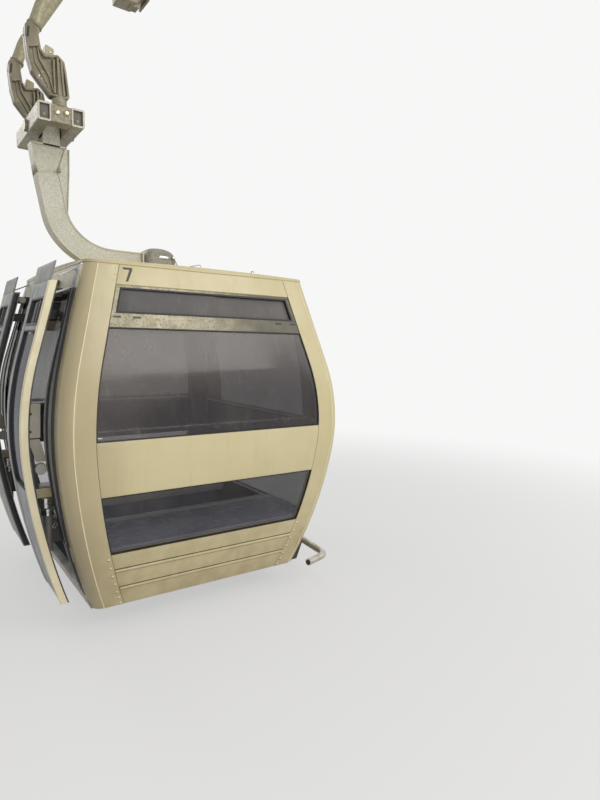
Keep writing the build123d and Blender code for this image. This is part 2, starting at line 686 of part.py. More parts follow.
def grab_rails():
    """A rail across the inside of each end window, from post to post."""
    y = -HALF_LENGTH - bulge(GRAB_HEIGHT) + GRAB_INSET
    rail = Pos(0, y, row_z(GRAB_HEIGHT)) * Rot(0, 90, 0) * Cylinder(GRAB_RADIUS, 2 * REACH)
    rail = rail & within_x(WALL + SEAT_GAP)
    return Compound(children=(rail + far(rail)).solids())


for name, post in corner_posts().items():
    save(name, post)
for name, piece in end_wall().items():
    save(name + "_near", piece)
    save(name + "_far", far(piece))
near_pane = vent_pane()
save("vent_panes", near_pane + far(near_pane))
for name, piece in side_wall().items():
    save(name, piece)
for name, piece in doorway().items():
    save(name, piece)
leaf, leaf_pane = door_leaf()
arms = door_arms()
save("door_leaf_near", leaf)
save("door_leaf_far", far(leaf))
save("door_glass", leaf_pane + far(leaf_pane))
save("door_arms_near", arms)
save("door_arms_far", far(arms))
pan, rails = floor()
save("floor_pan", pan)
save("underframe", rails)
save("bumper_tube", bumper_tube())
save("roof", roof())
save("hanger_housing", housing())
near_bench = bench()
save("bench_near", near_bench)
save("bench_far", far(near_bench))
save("grab_rails", grab_rails())
save("swan_neck", swan_neck())
save("swing_pin", swing_pin())
save("carrier_frame", carrier_frame())
near_arm = upper_arm()
save("upper_arm_near", near_arm)
save("upper_arm_far", far(near_arm))
near_grip = rope_grip()
save("rope_grip_near", near_grip)
save("rope_grip_far", far(near_grip))
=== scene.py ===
"""Finish and small parts of a barrel-sided cable car cabin on its hanger.

Shapes are worked out with numpy in millimetres, in the frame's own axes: the rope runs along Y, the doorway
is on the -X side and Z is up. Most of those on the cabin are laid out on one of its walls: a side, a distance
across it, a height above the cabin's foot, and a distance out along the normal. The meshes, the scales of the
finishes and the stage are in metres.
"""

from collections import namedtuple
from functools import cached_property, partial
from math import cos, hypot, inf, pi, radians, sin

import bpy
import numpy as np
from mathutils import Matrix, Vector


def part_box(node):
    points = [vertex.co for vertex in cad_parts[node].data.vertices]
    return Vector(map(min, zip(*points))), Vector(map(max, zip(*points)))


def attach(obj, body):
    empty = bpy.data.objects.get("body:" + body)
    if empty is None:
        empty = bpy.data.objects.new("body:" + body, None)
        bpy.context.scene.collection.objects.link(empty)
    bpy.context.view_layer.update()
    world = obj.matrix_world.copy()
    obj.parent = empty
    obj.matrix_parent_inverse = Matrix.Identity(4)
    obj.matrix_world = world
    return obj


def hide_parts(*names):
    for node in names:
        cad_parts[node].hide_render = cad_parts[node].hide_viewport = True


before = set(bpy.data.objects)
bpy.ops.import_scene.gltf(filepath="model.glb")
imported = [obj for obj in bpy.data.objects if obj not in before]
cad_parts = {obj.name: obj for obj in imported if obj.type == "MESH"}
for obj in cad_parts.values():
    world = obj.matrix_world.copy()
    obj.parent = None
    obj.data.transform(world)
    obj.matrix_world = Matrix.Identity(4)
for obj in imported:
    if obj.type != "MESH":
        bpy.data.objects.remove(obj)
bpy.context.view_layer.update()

UP, ALONG_ROPE, TO_NEAR = (0, 0, 1), (0, 1, 0), (0, -1, 0)


def box_of(node):
    """The lowest and the highest corner of a node."""
    return np.array(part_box(node), float) * 1000


# Driving sizes of the cabin

FOOT = box_of("post_side_far")[0, 2]
TOP = box_of("post_side_far")[1, 2] - FOOT
HALF_WIDTH, HALF_LENGTH = box_of("roof")[1, :2]
SHOULDER, SHOULDER_BULGE = TOP - 537, 139
WAIST, WAIST_BULGE = 844, 181
FOOT_BULGE = -16
WALL = 45
POST_FRONT, POST_SIDE = 181, 130
CORNER_DEPTH, CAMBER = 65, 0.66
SEAM = 1.6


def height_of(node, end):
    """Height above the cabin's foot of a node's lowest (0) or highest (1) point."""
    return box_of(node)[end, 2] - FOOT


BOARD_SEAMS = (133, 256)
LOWER_GLASS_LOW = height_of("end_boards_near", 1)
BAND_LOW, BAND_HIGH = height_of("end_band_near", 0), height_of("end_band_near", 1)
FASCIA_LOW = height_of("fascia_near", 0)
BAR_LOW = height_of("vent_frame_near", 0)
BAR_HIGH = BAR_LOW + 81
HEADER_LOW = height_of("door_header", 0)
SILL_HIGH = height_of("door_sill", 1)
FLOOR_TOP = height_of("floor_pan", 1)
ROOF_CROWN = height_of("roof", 1)


# Walls

def tangent_circle(start, direction, end):
    """Centre and radius of the circle that leaves start along direction and passes through end."""
    along = np.array(direction) / hypot(*direction)
    chord = np.subtract(end, start)
    radius = chord @ chord / (2 * (chord[0] * along[1] - chord[1] * along[0]))
    return (start[0] + radius * along[1], start[1] - radius * along[0]), abs(radius)


UPPER_CENTRE, UPPER_RADIUS = tangent_circle(
    (SHOULDER_BULGE, SHOULDER), (SHOULDER_BULGE, SHOULDER - TOP), (WAIST_BULGE, WAIST)
)
WAIST_DIRECTION = (WAIST - UPPER_CENTRE[1], UPPER_CENTRE[0] - WAIST_BULGE)
LOWER_CENTRE, LOWER_RADIUS = tangent_circle((WAIST_BULGE, WAIST), WAIST_DIRECTION, (FOOT_BULGE, 0))


def bulge(height):
    """How far the wall stands out at a height: a straight fall from the top, then two tangent arcs."""
    h = np.asarray(height, float)
    straight = SHOULDER_BULGE * (TOP - h) / (TOP - SHOULDER)
    upper = UPPER_CENTRE[0] + np.sqrt(np.maximum(UPPER_RADIUS**2 - (h - UPPER_CENTRE[1]) ** 2, 0))
    lower = LOWER_CENTRE[0] + np.sqrt(np.maximum(LOWER_RADIUS**2 - (h - LOWER_CENTRE[1]) ** 2, 0))
    return np.where(h >= SHOULDER, straight, np.where(h >= WAIST, upper, lower))


LEAF_OUT = -box_of("door_leaf_near")[0, 0] - box_of("post_side_far")[1, 0]

# Each side: quarter turns from the near end, distance of its wall from the middle, half its width, post
# width, and whether distances out from it follow its normal (1) or stay level (0)
Side = namedtuple("Side", "turns distance half post tilt")
SIDES = {
    "near": Side(0, HALF_LENGTH, HALF_WIDTH, POST_FRONT, 1),
    "blind": Side(1, HALF_WIDTH, HALF_LENGTH, POST_SIDE, 1),
    "far": Side(2, HALF_LENGTH, HALF_WIDTH, POST_FRONT, 1),
    "door": Side(3, HALF_WIDTH, HALF_LENGTH, POST_SIDE, 1),
    "gap": Side(3, HALF_WIDTH, HALF_LENGTH, POST_SIDE, 0),
    "leaf": Side(3, HALF_WIDTH + LEAF_OUT, HALF_LENGTH, POST_SIDE, 0),
}
ENDS = ("near", "far")
PANELLED = (*ENDS, "blind")
WALLS = (*PANELLED, "door")


def stack(*columns):
    """Points from their columns, each an array or one number for all of them."""
    return np.stack(np.broadcast_arrays(*columns), -1)


def on_wall(side, across, height, out=0):
    """Points at a distance across a side's wall, a height, and a distance out along its normal, which
    leans by the bulge's slope over a millimetre each way."""
    across, height, out = np.broadcast_arrays(*[np.asarray(v, float) for v in (across, height, out)])
    wall = SIDES[side]
    rise = wall.tilt * (bulge(height + 1) - bulge(height - 1)) / 2
    length = np.sqrt(1 + rise**2)
    x, y = across, -wall.distance - bulge(height) - out / length
    for _ in range(wall.turns):
        x, y = -y, x
    return stack(x, y, FOOT + height - out * rise / length)


def wall_normal(side, heights):
    """Outward normals of a side's wall at some heights."""
    return unit(on_wall(side, 0, heights, 1) - on_wall(side, 0, heights))


def half_room(side, height):
    """Half the distance between the two posts of a side, at a height."""
    return SIDES[side].half + bulge(height) - SIDES[side].post


def room_less(side, gap):
    """Half the room between a side's posts, less a gap, as a function of height."""
    return lambda height: half_room(side, height) - gap


# Shapes

def unit(vectors):
    """Vectors scaled to length one."""
    v = np.asarray(vectors, float)
    return v / np.maximum(np.linalg.norm(v, axis=-1, keepdims=True), 1e-12)


def level(line, z=0):
    """Flat (x, y) points at a height."""
    return stack(*line.T, z)


def standing(line, y=0):
    """Upright (x, z) points at one y."""
    return stack(line[:, 0], y, line[:, 1])


class Form:
    """Points and faces of a shape, with the moves that place it."""

    def __init__(self, points, *faces):
        self.points = np.asarray(points, float).reshape(-1, 3)
        self.faces = list(faces)

    def __add__(self, other):
        return joined([self, other])

    def flipped(self):
        """The same shape with its faces turned round."""
        return Form(self.points, *[f[:, ::-1] for f in self.faces])

    def outward(self):
        """The shape with its faces outwards, so that the volume inside them is not negative. It is summed
        over the fan of triangles of each face."""
        volume = 0
        for f in self.faces:
            p = self.points[f]
            for k in range(1, f.shape[1] - 1):
                volume += np.sum(p[:, 0] * np.cross(p[:, k], p[:, k + 1]))
        return self if volume >= 0 else self.flipped()

    def moved(self, x, y, z=0):
        """The shape shifted."""
        return Form(self.points + (x, y, z), *self.faces)

    def mirrored(self, axis):
        """The shape's image across the plane at right angles to an axis, 0, 1 or 2."""
        return Form(self.points * (1 - 2 * np.eye(3)[axis]), *self.flipped().faces)

    def both(self, axis):
        """The shape together with its mirror image."""
        return self + self.mirrored(axis)

    def placed(self, at, out=UP, along=UP):
        """Copies of the shape with its own Z along out, its Y near along, or near the rope where out is
        upright, and its origin at each place."""
        at = np.atleast_2d(np.asarray(at, float))
        z = unit(np.broadcast_to(out, at.shape))
        side = np.cross(np.broadcast_to(along, at.shape), z)
        upright = np.linalg.norm(side, axis=1) < 1e-6
        side[upright] = np.cross(ALONG_ROPE, z[upright])
        x = unit(side)
        axes = np.stack([x, np.cross(z, x), z], 1)
        return joined(Form(self.points @ turn + place, *self.faces) for turn, place in zip(axes, at))


def joined(forms):
    """One shape of several."""
    forms = list(forms)
    starts = np.cumsum([0] + [len(form.points) for form in forms])
    faces = [f + start for form, start in zip(forms, starts) for f in form.faces]
    return Form(np.vstack([form.points for form in forms]), *faces)


def grid(points, close_rows=False, close_columns=False):
    """A surface of quads over points[row, column], joined round where a direction is closed."""
    rows, columns = points.shape[:2]
    i = np.arange(rows if close_rows else rows - 1)[:, None]
    j = np.arange(columns if close_columns else columns - 1)
    i2, j2 = (i + 1) % rows, (j + 1) % columns
    quads = stack(i * columns + j, i * columns + j2, i2 * columns + j2, i2 * columns + j)
    return Form(points, quads.reshape(-1, 4))


def skin(points, closed=False):
    """A solid from a closed profile in each row of points, with its two ends faced or joined."""
    rows, columns = points.shape[:2]
    form = grid(points, closed, True)
    if not closed:
        first = np.arange(columns)
        form.faces.append(np.stack([first[::-1], first + (rows - 1) * columns]))
    return form.outward()


def mitres(path, closed=False):
    """Directions along a path at its points, and how far what is offset from it stretches at each."""
    ahead = np.roll(path, -1, 0) - path
    behind = path - np.roll(path, 1, 0)
    if not closed:
        ahead[-1], behind[0] = behind[-1], ahead[0]
    ahead, behind = unit(ahead), unit(behind)
    tangent = unit(ahead + behind)
    return tangent, 1 / np.maximum(np.sum(tangent * ahead, 1), 0.4)[:, None]


def divided(points, longest, closed=False):
    """A path with extra points so that no stretch is over longest."""
    points = np.asarray(points, float)
    ends = np.roll(points, -1, 0) if closed else points[1:]
    pieces = []
    for start, end in zip(points, ends):
        count = max(1, int(np.ceil(np.linalg.norm(end - start) / longest)))
        pieces.append(start + (end - start) * np.linspace(0, 1, count, endpoint=False)[:, None])
    return np.vstack(pieces if closed else [*pieces, points[-1:]])


def rectangle(x0, x1, y0, y1, radius=1, steps=3, longest=inf):
    """Points round a rectangle, anticlockwise, each corner a quarter circle of some steps. Long sides
    are divided so that no stretch is over longest."""
    corners = ((x1 - radius, y0 + radius), (x1 - radius, y1 - radius),
               (x0 + radius, y1 - radius), (x0 + radius, y0 + radius))
    loops = []
    for quarter, middle in enumerate(corners):
        angle = np.linspace(quarter - 1, quarter, steps) * pi / 2
        loops.append(middle + radius * stack(np.cos(angle), np.sin(angle)))
    return divided(np.vstack(loops), longest, True)


def centred(width, height, radius=1, steps=3):
    """A rectangle with round corners about nothing."""
    return rectangle(-width / 2, width / 2, -height / 2, height / 2, radius, steps)


def ring(radius, steps=20):
    """Points round a circle."""
    angle = np.linspace(0, 2 * pi, steps, endpoint=False)
    return radius * stack(np.cos(angle), np.sin(angle))


def rounded_path(points, radius, steps=8):
    """A path through points, flat or in space, with an arc of the radius at each point between the ends."""
    points = np.asarray(points, float)
    path = [points[:1]]
    for before, corner, after in zip(points[:-2], points[1:-1], points[2:]):
        back, ahead = unit(before - corner), unit(after - corner)
        half = np.arccos(np.clip(back @ ahead, -1, 1)) / 2
        reach = radius / np.tan(half)
        middle = corner + unit(back + ahead) * radius / np.sin(half)
        first, last = corner + back * reach - middle, corner + ahead * reach - middle
        turn = pi - 2 * half
        share = np.linspace(0, 1, steps)[:, None]
        path.append(middle + (np.sin((1 - share) * turn) * first + np.sin(share * turn) * last) / np.sin(turn))
    return np.vstack([*path, points[-1:]])


def rounded_loop(points, radius, steps=4):
    """A closed outline with every corner rounded."""
    points = np.asarray(points, float)
    return rounded_path(np.vstack([points[-1:], points, points[:1]]), radius, steps)[1:-1]


def inset(outline, step):
    """A closed outline of points moved in by a step."""
    x, y = outline.T
    way = np.sign(np.sum(x * np.roll(y, -1) - y * np.roll(x, -1)))
    tangent, stretch = mitres(outline, True)
    return outline + step * way * stretch * stack(-tangent[:, 1], tangent[:, 0])


def wall_strip(side, path, profile, closed=False):
    """A bar along a path of (across, height) points on a wall. Each profile point is an offset to the
    path's right, in the wall, and a distance out, and the loop of them is carried along the path."""
    path = np.asarray(path, float)
    tangent, stretch = mitres(path, closed)
    right = stretch * stack(tangent[:, 1], -tangent[:, 0])
    offset, out = profile.T
    across, height = np.moveaxis(path[:, None] + offset[:, None] * right[:, None], -1, 0)
    return skin(on_wall(side, across, height, out), closed)


def sweep(path, profile, up=UP, closed=False):
    """A closed profile of (side, up) points carried along a path in space. The side is at right angles
    to the path and to up, which is turned square to the path at each point."""
    path = np.asarray(path, float)
    tangent, stretch = mitres(path, closed)
    side = unit(np.cross(tangent, up))
    rise = np.cross(side, tangent)
    across, high = profile.T[..., None]
    return skin(path[:, None] + across * (side * stretch)[:, None] + high * rise[:, None], closed)


def lathe(profile, steps=28, shut=True):
    """A profile of (radius, height) points turned about Z, with flat ends where it is shut."""
    profile = np.asarray(profile, float)
    if shut:
        profile = np.vstack([profile[0] * (0, 1), profile, profile[-1] * (0, 1)])
    radius, height = profile.T[..., None]
    x, y = ring(1, steps).T
    return grid(stack(radius * x, radius * y, height), close_columns=True).outward()


def prism(outline, low, high, bevel=0):
    """A plate from a flat outline of (x, y) points, z from low to high, its top edges bevelled."""
    rings = [(0, low), (0, high - bevel)]
    if bevel:
        rings += [(bevel * 0.3, high - bevel * 0.3), (bevel, high)]
    return skin(np.stack([level(inset(np.asarray(outline, float), step), z) for step, z in rings]))


def upright(outline, low, high, bevel=0):
    """A plate from an outline of (x, z) points, from y = low to y = high."""
    form = prism(outline, low, high, bevel)
    return Form(form.points[:, [0, 2, 1]], *form.faces).outward()


def box_run(first, second, low, high, edge=1.5, closed=False):
    """A bar between two lines of (x, z) points, from y = low to y = high, its long edges cut."""
    across = unit(second - first) * edge
    halves = [[(near + step, low), (near, low + edge), (near, high - edge), (near + step, high)]
              for near, step in ((first, across), (second, -across))]
    return skin(np.stack([standing(line, y) for line, y in halves[0] + halves[1][::-1]], 1), closed)


def laid(form, side):
    """A shape from local (across, height, out) points, laid on a wall."""
    return Form(on_wall(side, *form.points.T), *form.faces).outward()


def oblong(x, y, long, high):
    """An outline with round ends about a place."""
    return centred(long, high, min(long, high) / 2 - 0.05, 7) + (x, y)


def rounded_edge(radius, steps=4):
    """Distances in from an edge and depths below the face, for a quarter round."""
    t = np.linspace(0, pi / 2, steps)
    return radius * (1 - np.cos(t)), radius * (1 - np.sin(t))


def slab(side, low, high, across, thick, out=0, round_by=3, rows=14, columns=8, relief=None, marks=()):
    """A closed panel on a wall, its edges rounded. Its outer face is a grid over a width and the heights
    from low to high, at out less the rounding's depth, and relief(height) adds to it, with rows at some
    marks too. across is half the width or a (left, right) pair, or a function of height for either."""
    edge, drop = rounded_edge(round_by)
    inner = np.unique(np.concatenate([np.linspace(low + round_by, high - round_by, rows)[1:-1], marks]))
    h = np.concatenate([[low], low + edge, inner, high - edge[::-1], [high]])
    deep_h = np.concatenate([[thick], drop, 0 * inner, drop[::-1], [thick]])
    limits = across(h) if callable(across) else across
    limits = limits if isinstance(limits, tuple) else (-limits, limits)
    left, right = [np.broadcast_to(limit, h.shape)[:, None] for limit in limits]
    spread = np.linspace(0, 1, columns)[1:-1]
    middle = left + round_by + (right - left - 2 * round_by) * spread
    a = np.hstack([left, left + edge, middle, right - edge[::-1], right])
    deep_a = np.concatenate([[thick], drop, 0 * spread, drop[::-1], [thick]])
    depth = np.maximum(deep_h[:, None], deep_a)
    if relief:
        depth = depth - relief(h)[:, None] * (depth < round_by / 2)
    front, back = [grid(on_wall(side, a, h[:, None], out - deep)) for deep in (depth, thick)]
    return (front + back.flipped()).outward()


def pair(side, low, high, inner, outer, thick, out=0, round_by=2, rows=10, columns=4):
    """A slab from an inner to an outer distance across a wall, each a number or a function of height,
    and its mirror image."""
    def limits(heights):
        return tuple(edge(heights) if callable(edge) else edge for edge in (inner, outer))
    return slab(side, low, high, limits, thick, out, round_by, rows, columns).both(SIDES[side].turns % 2)


# Radius and height of a rivet's dome, as shares of its radius
DOME = np.array([(1, -0.4), (1, 0), (0.86, 0.34), (0.5, 0.6), (0, 0.7)])


def dome(radius, steps=10):
    """A rivet head, open underneath."""
    return lathe(DOME * radius, steps, shut=False)


def bolt(radius, height, washer=1.35):
    """A hexagon head with its upper corners cut, on a washer."""
    head = lathe([(radius, 0), (radius, height * 0.8), (radius * 0.86, height)], 6)
    return head + lathe([(radius * washer, -height * 0.4), (radius * washer, height * 0.12)], 16)


def piece(name, form, finish, body="cabin", slot="usual", replaces=(), smooth=35):
    """A mesh object of a form, with its doubled points merged, its finish and its body. A face that loses
    points to the merging is written without them, or dropped under three. Its slot is worked out but not used."""
    whole, order = np.unique(np.round(form.points, 3), axis=0, return_inverse=True)
    loops, counts = [], []
    for faces in form.faces:
        faces = order.reshape(-1)[faces]
        width = faces.shape[1]
        sizes = 1 + (np.diff(np.sort(faces, 1), axis=1) > 0).sum(1)
        kept = [face[face != np.roll(face, 1)] for face in faces[(sizes < width) & (sizes >= 3)]]
        loops += [faces[sizes == width].reshape(-1), *kept]
        counts += [width] * np.sum(sizes == width) + [len(face) for face in kept]
    loops = np.concatenate(loops)
    mesh = bpy.data.meshes.new(name)
    mesh.vertices.add(len(whole))
    mesh.vertices.foreach_set("co", whole.reshape(-1) / 1000)
    mesh.loops.add(len(loops))
    mesh.loops.foreach_set("vertex_index", loops)
    mesh.polygons.add(len(counts))
    mesh.polygons.foreach_set("loop_start", np.cumsum([0, *counts[:-1]]))
    mesh.update(calc_edges=True)
    mesh.validate()
    mesh.shade_smooth()
    mesh.set_sharp_from_angle(angle=radians(smooth))
    mesh.materials.append(MATERIALS[finish])
    thing = bpy.data.objects.new(name, mesh)
    bpy.context.scene.collection.objects.link(thing)
    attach(thing, body)
    if slot == "usual":
        slot = FINISHES[finish][0]
    if replaces:
        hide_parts(*replaces)


# Shader maths

class Wire:
    """One socket of a graph's nodes. Operators on it add Math nodes."""

    def __init__(self, graph, socket):
        self.graph = graph
        self.socket = socket

    def __add__(self, other):
        return self.graph.maths("ADD", self, other)

    def __radd__(self, other):
        return self.graph.maths("ADD", other, self)

    def __mul__(self, other):
        return self.graph.maths("MULTIPLY", self, other)

    def __rmul__(self, other):
        return self.graph.maths("MULTIPLY", other, self)


def shade(colour):
    """A colour written as 0 to 255 per channel, as it would be measured on a screen."""
    channels = [c / 255 for c in colour]
    return (*[c / 12.92 if c <= 0.04045 else ((c + 0.055) / 1.055) ** 2.4 for c in channels], 1)


class Graph:
    """The nodes of a material or of the surroundings."""

    def __init__(self, owner):
        owner.use_nodes = True
        self.owner = owner
        self.tree = owner.node_tree
        self.tree.nodes.clear()

    def node(self, kind, inputs=None, output=0, **settings):
        """Adds a node, sets it up, feeds its sockets with values or wires, and gives one of its outputs."""
        node = self.tree.nodes.new(kind)
        for key, value in settings.items():
            setattr(node, key, value)
        for key, value in (inputs or {}).items():
            if isinstance(value, Wire):
                self.tree.links.new(value.socket, node.inputs[key])
            else:
                node.inputs[key].default_value = value
        return Wire(self, node.outputs[output]) if node.outputs else None

    def maths(self, operation, first, second):
        """A Math node's value."""
        return self.node("ShaderNodeMath", {0: first, 1: second}, operation=operation)

    @cached_property
    def place(self):
        """Object coordinates."""
        return self.node("ShaderNodeTexCoord", output="Object")

    def noise(self, scale, detail=3, rough=0.55, place=None):
        """Soft noise from 0 to 1, with features about 1 / scale metres wide."""
        inputs = {"Vector": place or self.place, "Scale": scale, "Detail": detail, "Roughness": rough}
        return self.node("ShaderNodeTexNoise", inputs)

    def cells(self, scale):
        """Distance to the nearest of scattered points."""
        return self.node("ShaderNodeTexVoronoi", {"Vector": self.place, "Scale": scale})

    def stretched(self, x, y, z):
        """The place, with each axis multiplied, for streaks and grain."""
        return self.node("ShaderNodeMapping", {"Vector": self.place, "Scale": (x, y, z)})

    def between(self, value, low, high, start=0, end=1):
        """A value's smooth rise from start to end between low and high."""
        inputs = {"Value": value, "From Min": low, "From Max": high, "To Min": start, "To Max": end}
        return self.node("ShaderNodeMapRange", inputs, interpolation_type="SMOOTHSTEP")

    def along(self, axis, low, high, start=0, end=1):
        """A smooth rise from start to end between two places on an axis, in millimetres."""
        spot = self.node("ShaderNodeSeparateXYZ", {0: self.place}, axis)
        return self.between(spot, low / 1000, high / 1000, start, end)

    def mix(self, factor, first, second, *over):
        """A colour between two, and then between that and each further (factor, colour) over it. Colours
        are wires or 0 to 255 per channel."""
        colours = [shade(c) if isinstance(c, tuple) else c for c in (first, second)]
        mixed = self.node("ShaderNodeMix", {0: factor, 6: colours[0], 7: colours[1]}, 2, data_type="RGBA")
        return self.mix(over[0][0], mixed, over[0][1], *over[1:]) if over else mixed

    def bump(self, height, depth, after=None):
        """A bumped normal, with height from 0 to 1 standing for a depth in millimetres."""
        inputs = {"Height": height, "Distance": depth / 1000, "Strength": 1}
        if after:
            inputs["Normal"] = after
        return self.node("ShaderNodeBump", inputs)

    def done(self, colour, rough, normal, **others):
        """Ends the nodes in one surface shader. Names of other sockets are written with _ for a space."""
        inputs = {"Base Color": colour, "Roughness": rough, "Normal": normal}
        inputs.update({key.replace("_", " "): value for key, value in others.items()})
        self.node("ShaderNodeOutputMaterial", {"Surface": self.node("ShaderNodeBsdfPrincipled", inputs)})


# Finishes

def cream_paint(f):
    """Aged cream paint: slow colour drift, rain streaks, ochre stains, grime near the foot and specks. Painted
    shade makes it greyer and darker towards the doorway side, and darker again low on that side."""
    foot = f.along("Z", FOOT + 850, FOOT - 50) * f.between(f.noise(9, 5), 0.3, 0.7, 0.3, 0.7)
    # Painted shade: darker low on the doorway side, most at its foot.
    door_foot_shade = f.along("X", -600, -920) * f.along("Z", FOOT + 750, FOOT + 50, 0, 0.6)
    specks = f.between(f.cells(95), 0.16, 0.08) * f.between(f.noise(14, 2), 0.56, 0.64)
    colour = f.mix(
        f.between(f.noise(1.7), 0.35, 0.65), (214, 202, 160), (206, 193, 149),
        (f.between(f.noise(1, 5, 0.6, f.stretched(26, 26, 1.3)), 0.52, 0.75, 0, 0.22), (182, 166, 122)),
        (f.between(f.noise(7, 6, 0.7), 0.60, 0.76, 0, 0.35), (176, 154, 104)),
        (foot, (166, 147, 112)),
        # Painted shade: greyer and darker towards the doorway side.
        (f.along("X", -460, -860, 0, 0.62), (160, 145, 114)),
        (door_foot_shade, (116, 106, 96)),
        (specks * 0.55, (112, 92, 60)),
    )
    rough = f.between(f.noise(12, 4), 0.25, 0.75, 0.30, 0.52) + specks * 0.2
    normal = f.bump(f.noise(2.2, 2), 0.7, f.bump(f.noise(420, 2), 0.05))
    f.done(colour, rough, normal, Coat_Weight=0.15, Coat_Roughness=0.25)


def tinted_acrylic(f, tone, cover, roof_sheen=0, bend=1.49):
    """Dark tinted acrylic of a tone that covers what is behind it by a share, with dust and dried drips, and a
    painted reflection: a pale film that thickens towards the roof."""
    dust = f.between(f.noise(2.6, 3, 0.5), 0.35, 0.75)
    drips = f.between(f.noise(1, 3, 0.5, f.stretched(60, 60, 2.2)), 0.56, 0.75)
    specks = f.between(f.cells(120), 0.20, 0.10) * f.between(f.noise(30, 2), 0.45, 0.6)
    # Painted reflection: the pane paler towards the roof.
    high = f.along("Z", FOOT + 1150, FOOT + 1700, 0, roof_sheen)
    film = f.maths("MAXIMUM", specks * 0.8, dust * 0.22 + drips * 0.14 + high)
    alpha = f.between(film, 0, 1, cover, 0.5 + cover / 2)
    rough = f.between(film, 0, 1, 0.07, 0.38)
    f.done(f.mix(film, tone, (158, 149, 140)), rough, f.bump(f.noise(1.1, 1), 0.6), Alpha=alpha, IOR=bend)


def black_rubber(f):
    """Black rubber, greyed on its high spots."""
    worn = f.between(f.noise(24, 4), 0.45, 0.75)
    colour = f.mix(worn, (24, 24, 25), (58, 57, 55))
    f.done(colour, f.between(worn, 0, 1, 0.5, 0.75), f.bump(f.noise(180, 2), 0.1))


def mottled_aluminium(f):
    """Mill aluminium gone beige-grey, with dark pits and pale lichen-like spots, and painted shade that darkens
    it towards the +X side.
    """
    patches = f.noise(16, 6, 0.75)
    pits = f.between(f.noise(130, 4, 0.8), 0.53, 0.60)
    colour = f.mix(
        f.between(patches, 0.25, 0.75), (186, 178, 152), (156, 148, 124),
        (pits * 0.85, (66, 61, 50)),
        (f.between(f.noise(60), 0.62, 0.72) * 0.6, (198, 192, 172)),
        # Painted shade: darker towards the +X side.
        (f.along("X", -200, 400, 0, 0.97), (98, 94, 82)),
    )
    metal = f.between(pits, 0, 1, 0.35, 0.05)
    f.done(colour, f.between(patches, 0.3, 0.7, 0.42, 0.62), f.bump(f.noise(95, 5, 0.85), 0.3), Metallic=metal)


def bare_aluminium(f):
    """Plain drawn aluminium with faint lengthwise lines."""
    lines = f.noise(1, 3, 0.6, f.stretched(500, 500, 6))
    colour = f.mix(f.between(f.noise(8, 4), 0.3, 0.7), (172, 172, 168), (140, 139, 133))
    f.done(colour, f.between(lines, 0.3, 0.7, 0.28, 0.5), f.bump(lines, 0.05), Metallic=0.8)


def weathered_steel(f, light, dark, scale=90, metal=0.25):
    """Rough weathered coating on steel: a fine mottle of two tones, rubbed patches and dust."""
    mottle = f.noise(scale, 5, 0.75)
    colour = f.mix(
        f.between(mottle, 0.35, 0.65), light, dark,
        (f.between(f.noise(5, 5, 0.65), 0.42, 0.68) * 0.3, (178, 168, 136)),
        (f.between(f.noise(11, 6, 0.7), 0.60, 0.76) * 0.4, (88, 82, 68)),
    )
    normal = f.bump(mottle, 0.5, f.bump(f.noise(24), 0.8))
    f.done(colour, f.between(mottle, 0.3, 0.7, 0.38, 0.6), normal, Metallic=metal)


def cast_paint(f):
    """Thick grey-khaki paint on a sand casting, shiny on its high spots, dirt in its hollows."""
    grain = f.noise(210, 4, 0.7)
    colour = f.mix(
        f.between(f.noise(6, 4), 0.35, 0.65), (150, 142, 118), (123, 115, 94),
        (f.between(f.noise(18, 6, 0.7), 0.57, 0.72) * 0.6, (84, 76, 58)),
        (f.between(f.noise(40), 0.64, 0.72) * 0.7, (196, 186, 152)),
    )
    normal = f.bump(grain, 0.35, f.bump(f.noise(32, 2), 1))
    f.done(colour, f.between(grain, 0.3, 0.7, 0.32, 0.55), normal, Metallic=0.15)


def polished_steel(f, tone, rough):
    """Steel with fine scratches and dull patches."""
    dull = f.between(f.noise(14, 5), 0.4, 0.7)
    scratches = f.noise(1, 4, 0.7, f.stretched(240, 40, 240))
    colour = f.mix(dull * 0.5, tone, (140, 134, 124))
    f.done(colour, f.between(dull, 0, 1, rough, rough + 0.25), f.bump(scratches, 0.04), Metallic=1)


def plain_coat(f, tone, second, rough=(0.35, 0.55), grain=260, depth=0.06, scuffed=0.35):
    """A coat of paint or moulded plastic: two close tones, a fine grain and a share of scuffs."""
    scuffs = f.between(f.noise(1, 5, 0.7, f.stretched(30, 30, 9)), 0.60, 0.74)
    colour = f.mix(f.between(f.noise(4, 4), 0.35, 0.65), tone, second, (scuffs * scuffed, (176, 172, 160)))
    f.done(colour, f.between(f.noise(15, 4), 0.3, 0.7, *rough), f.bump(f.noise(grain), depth))


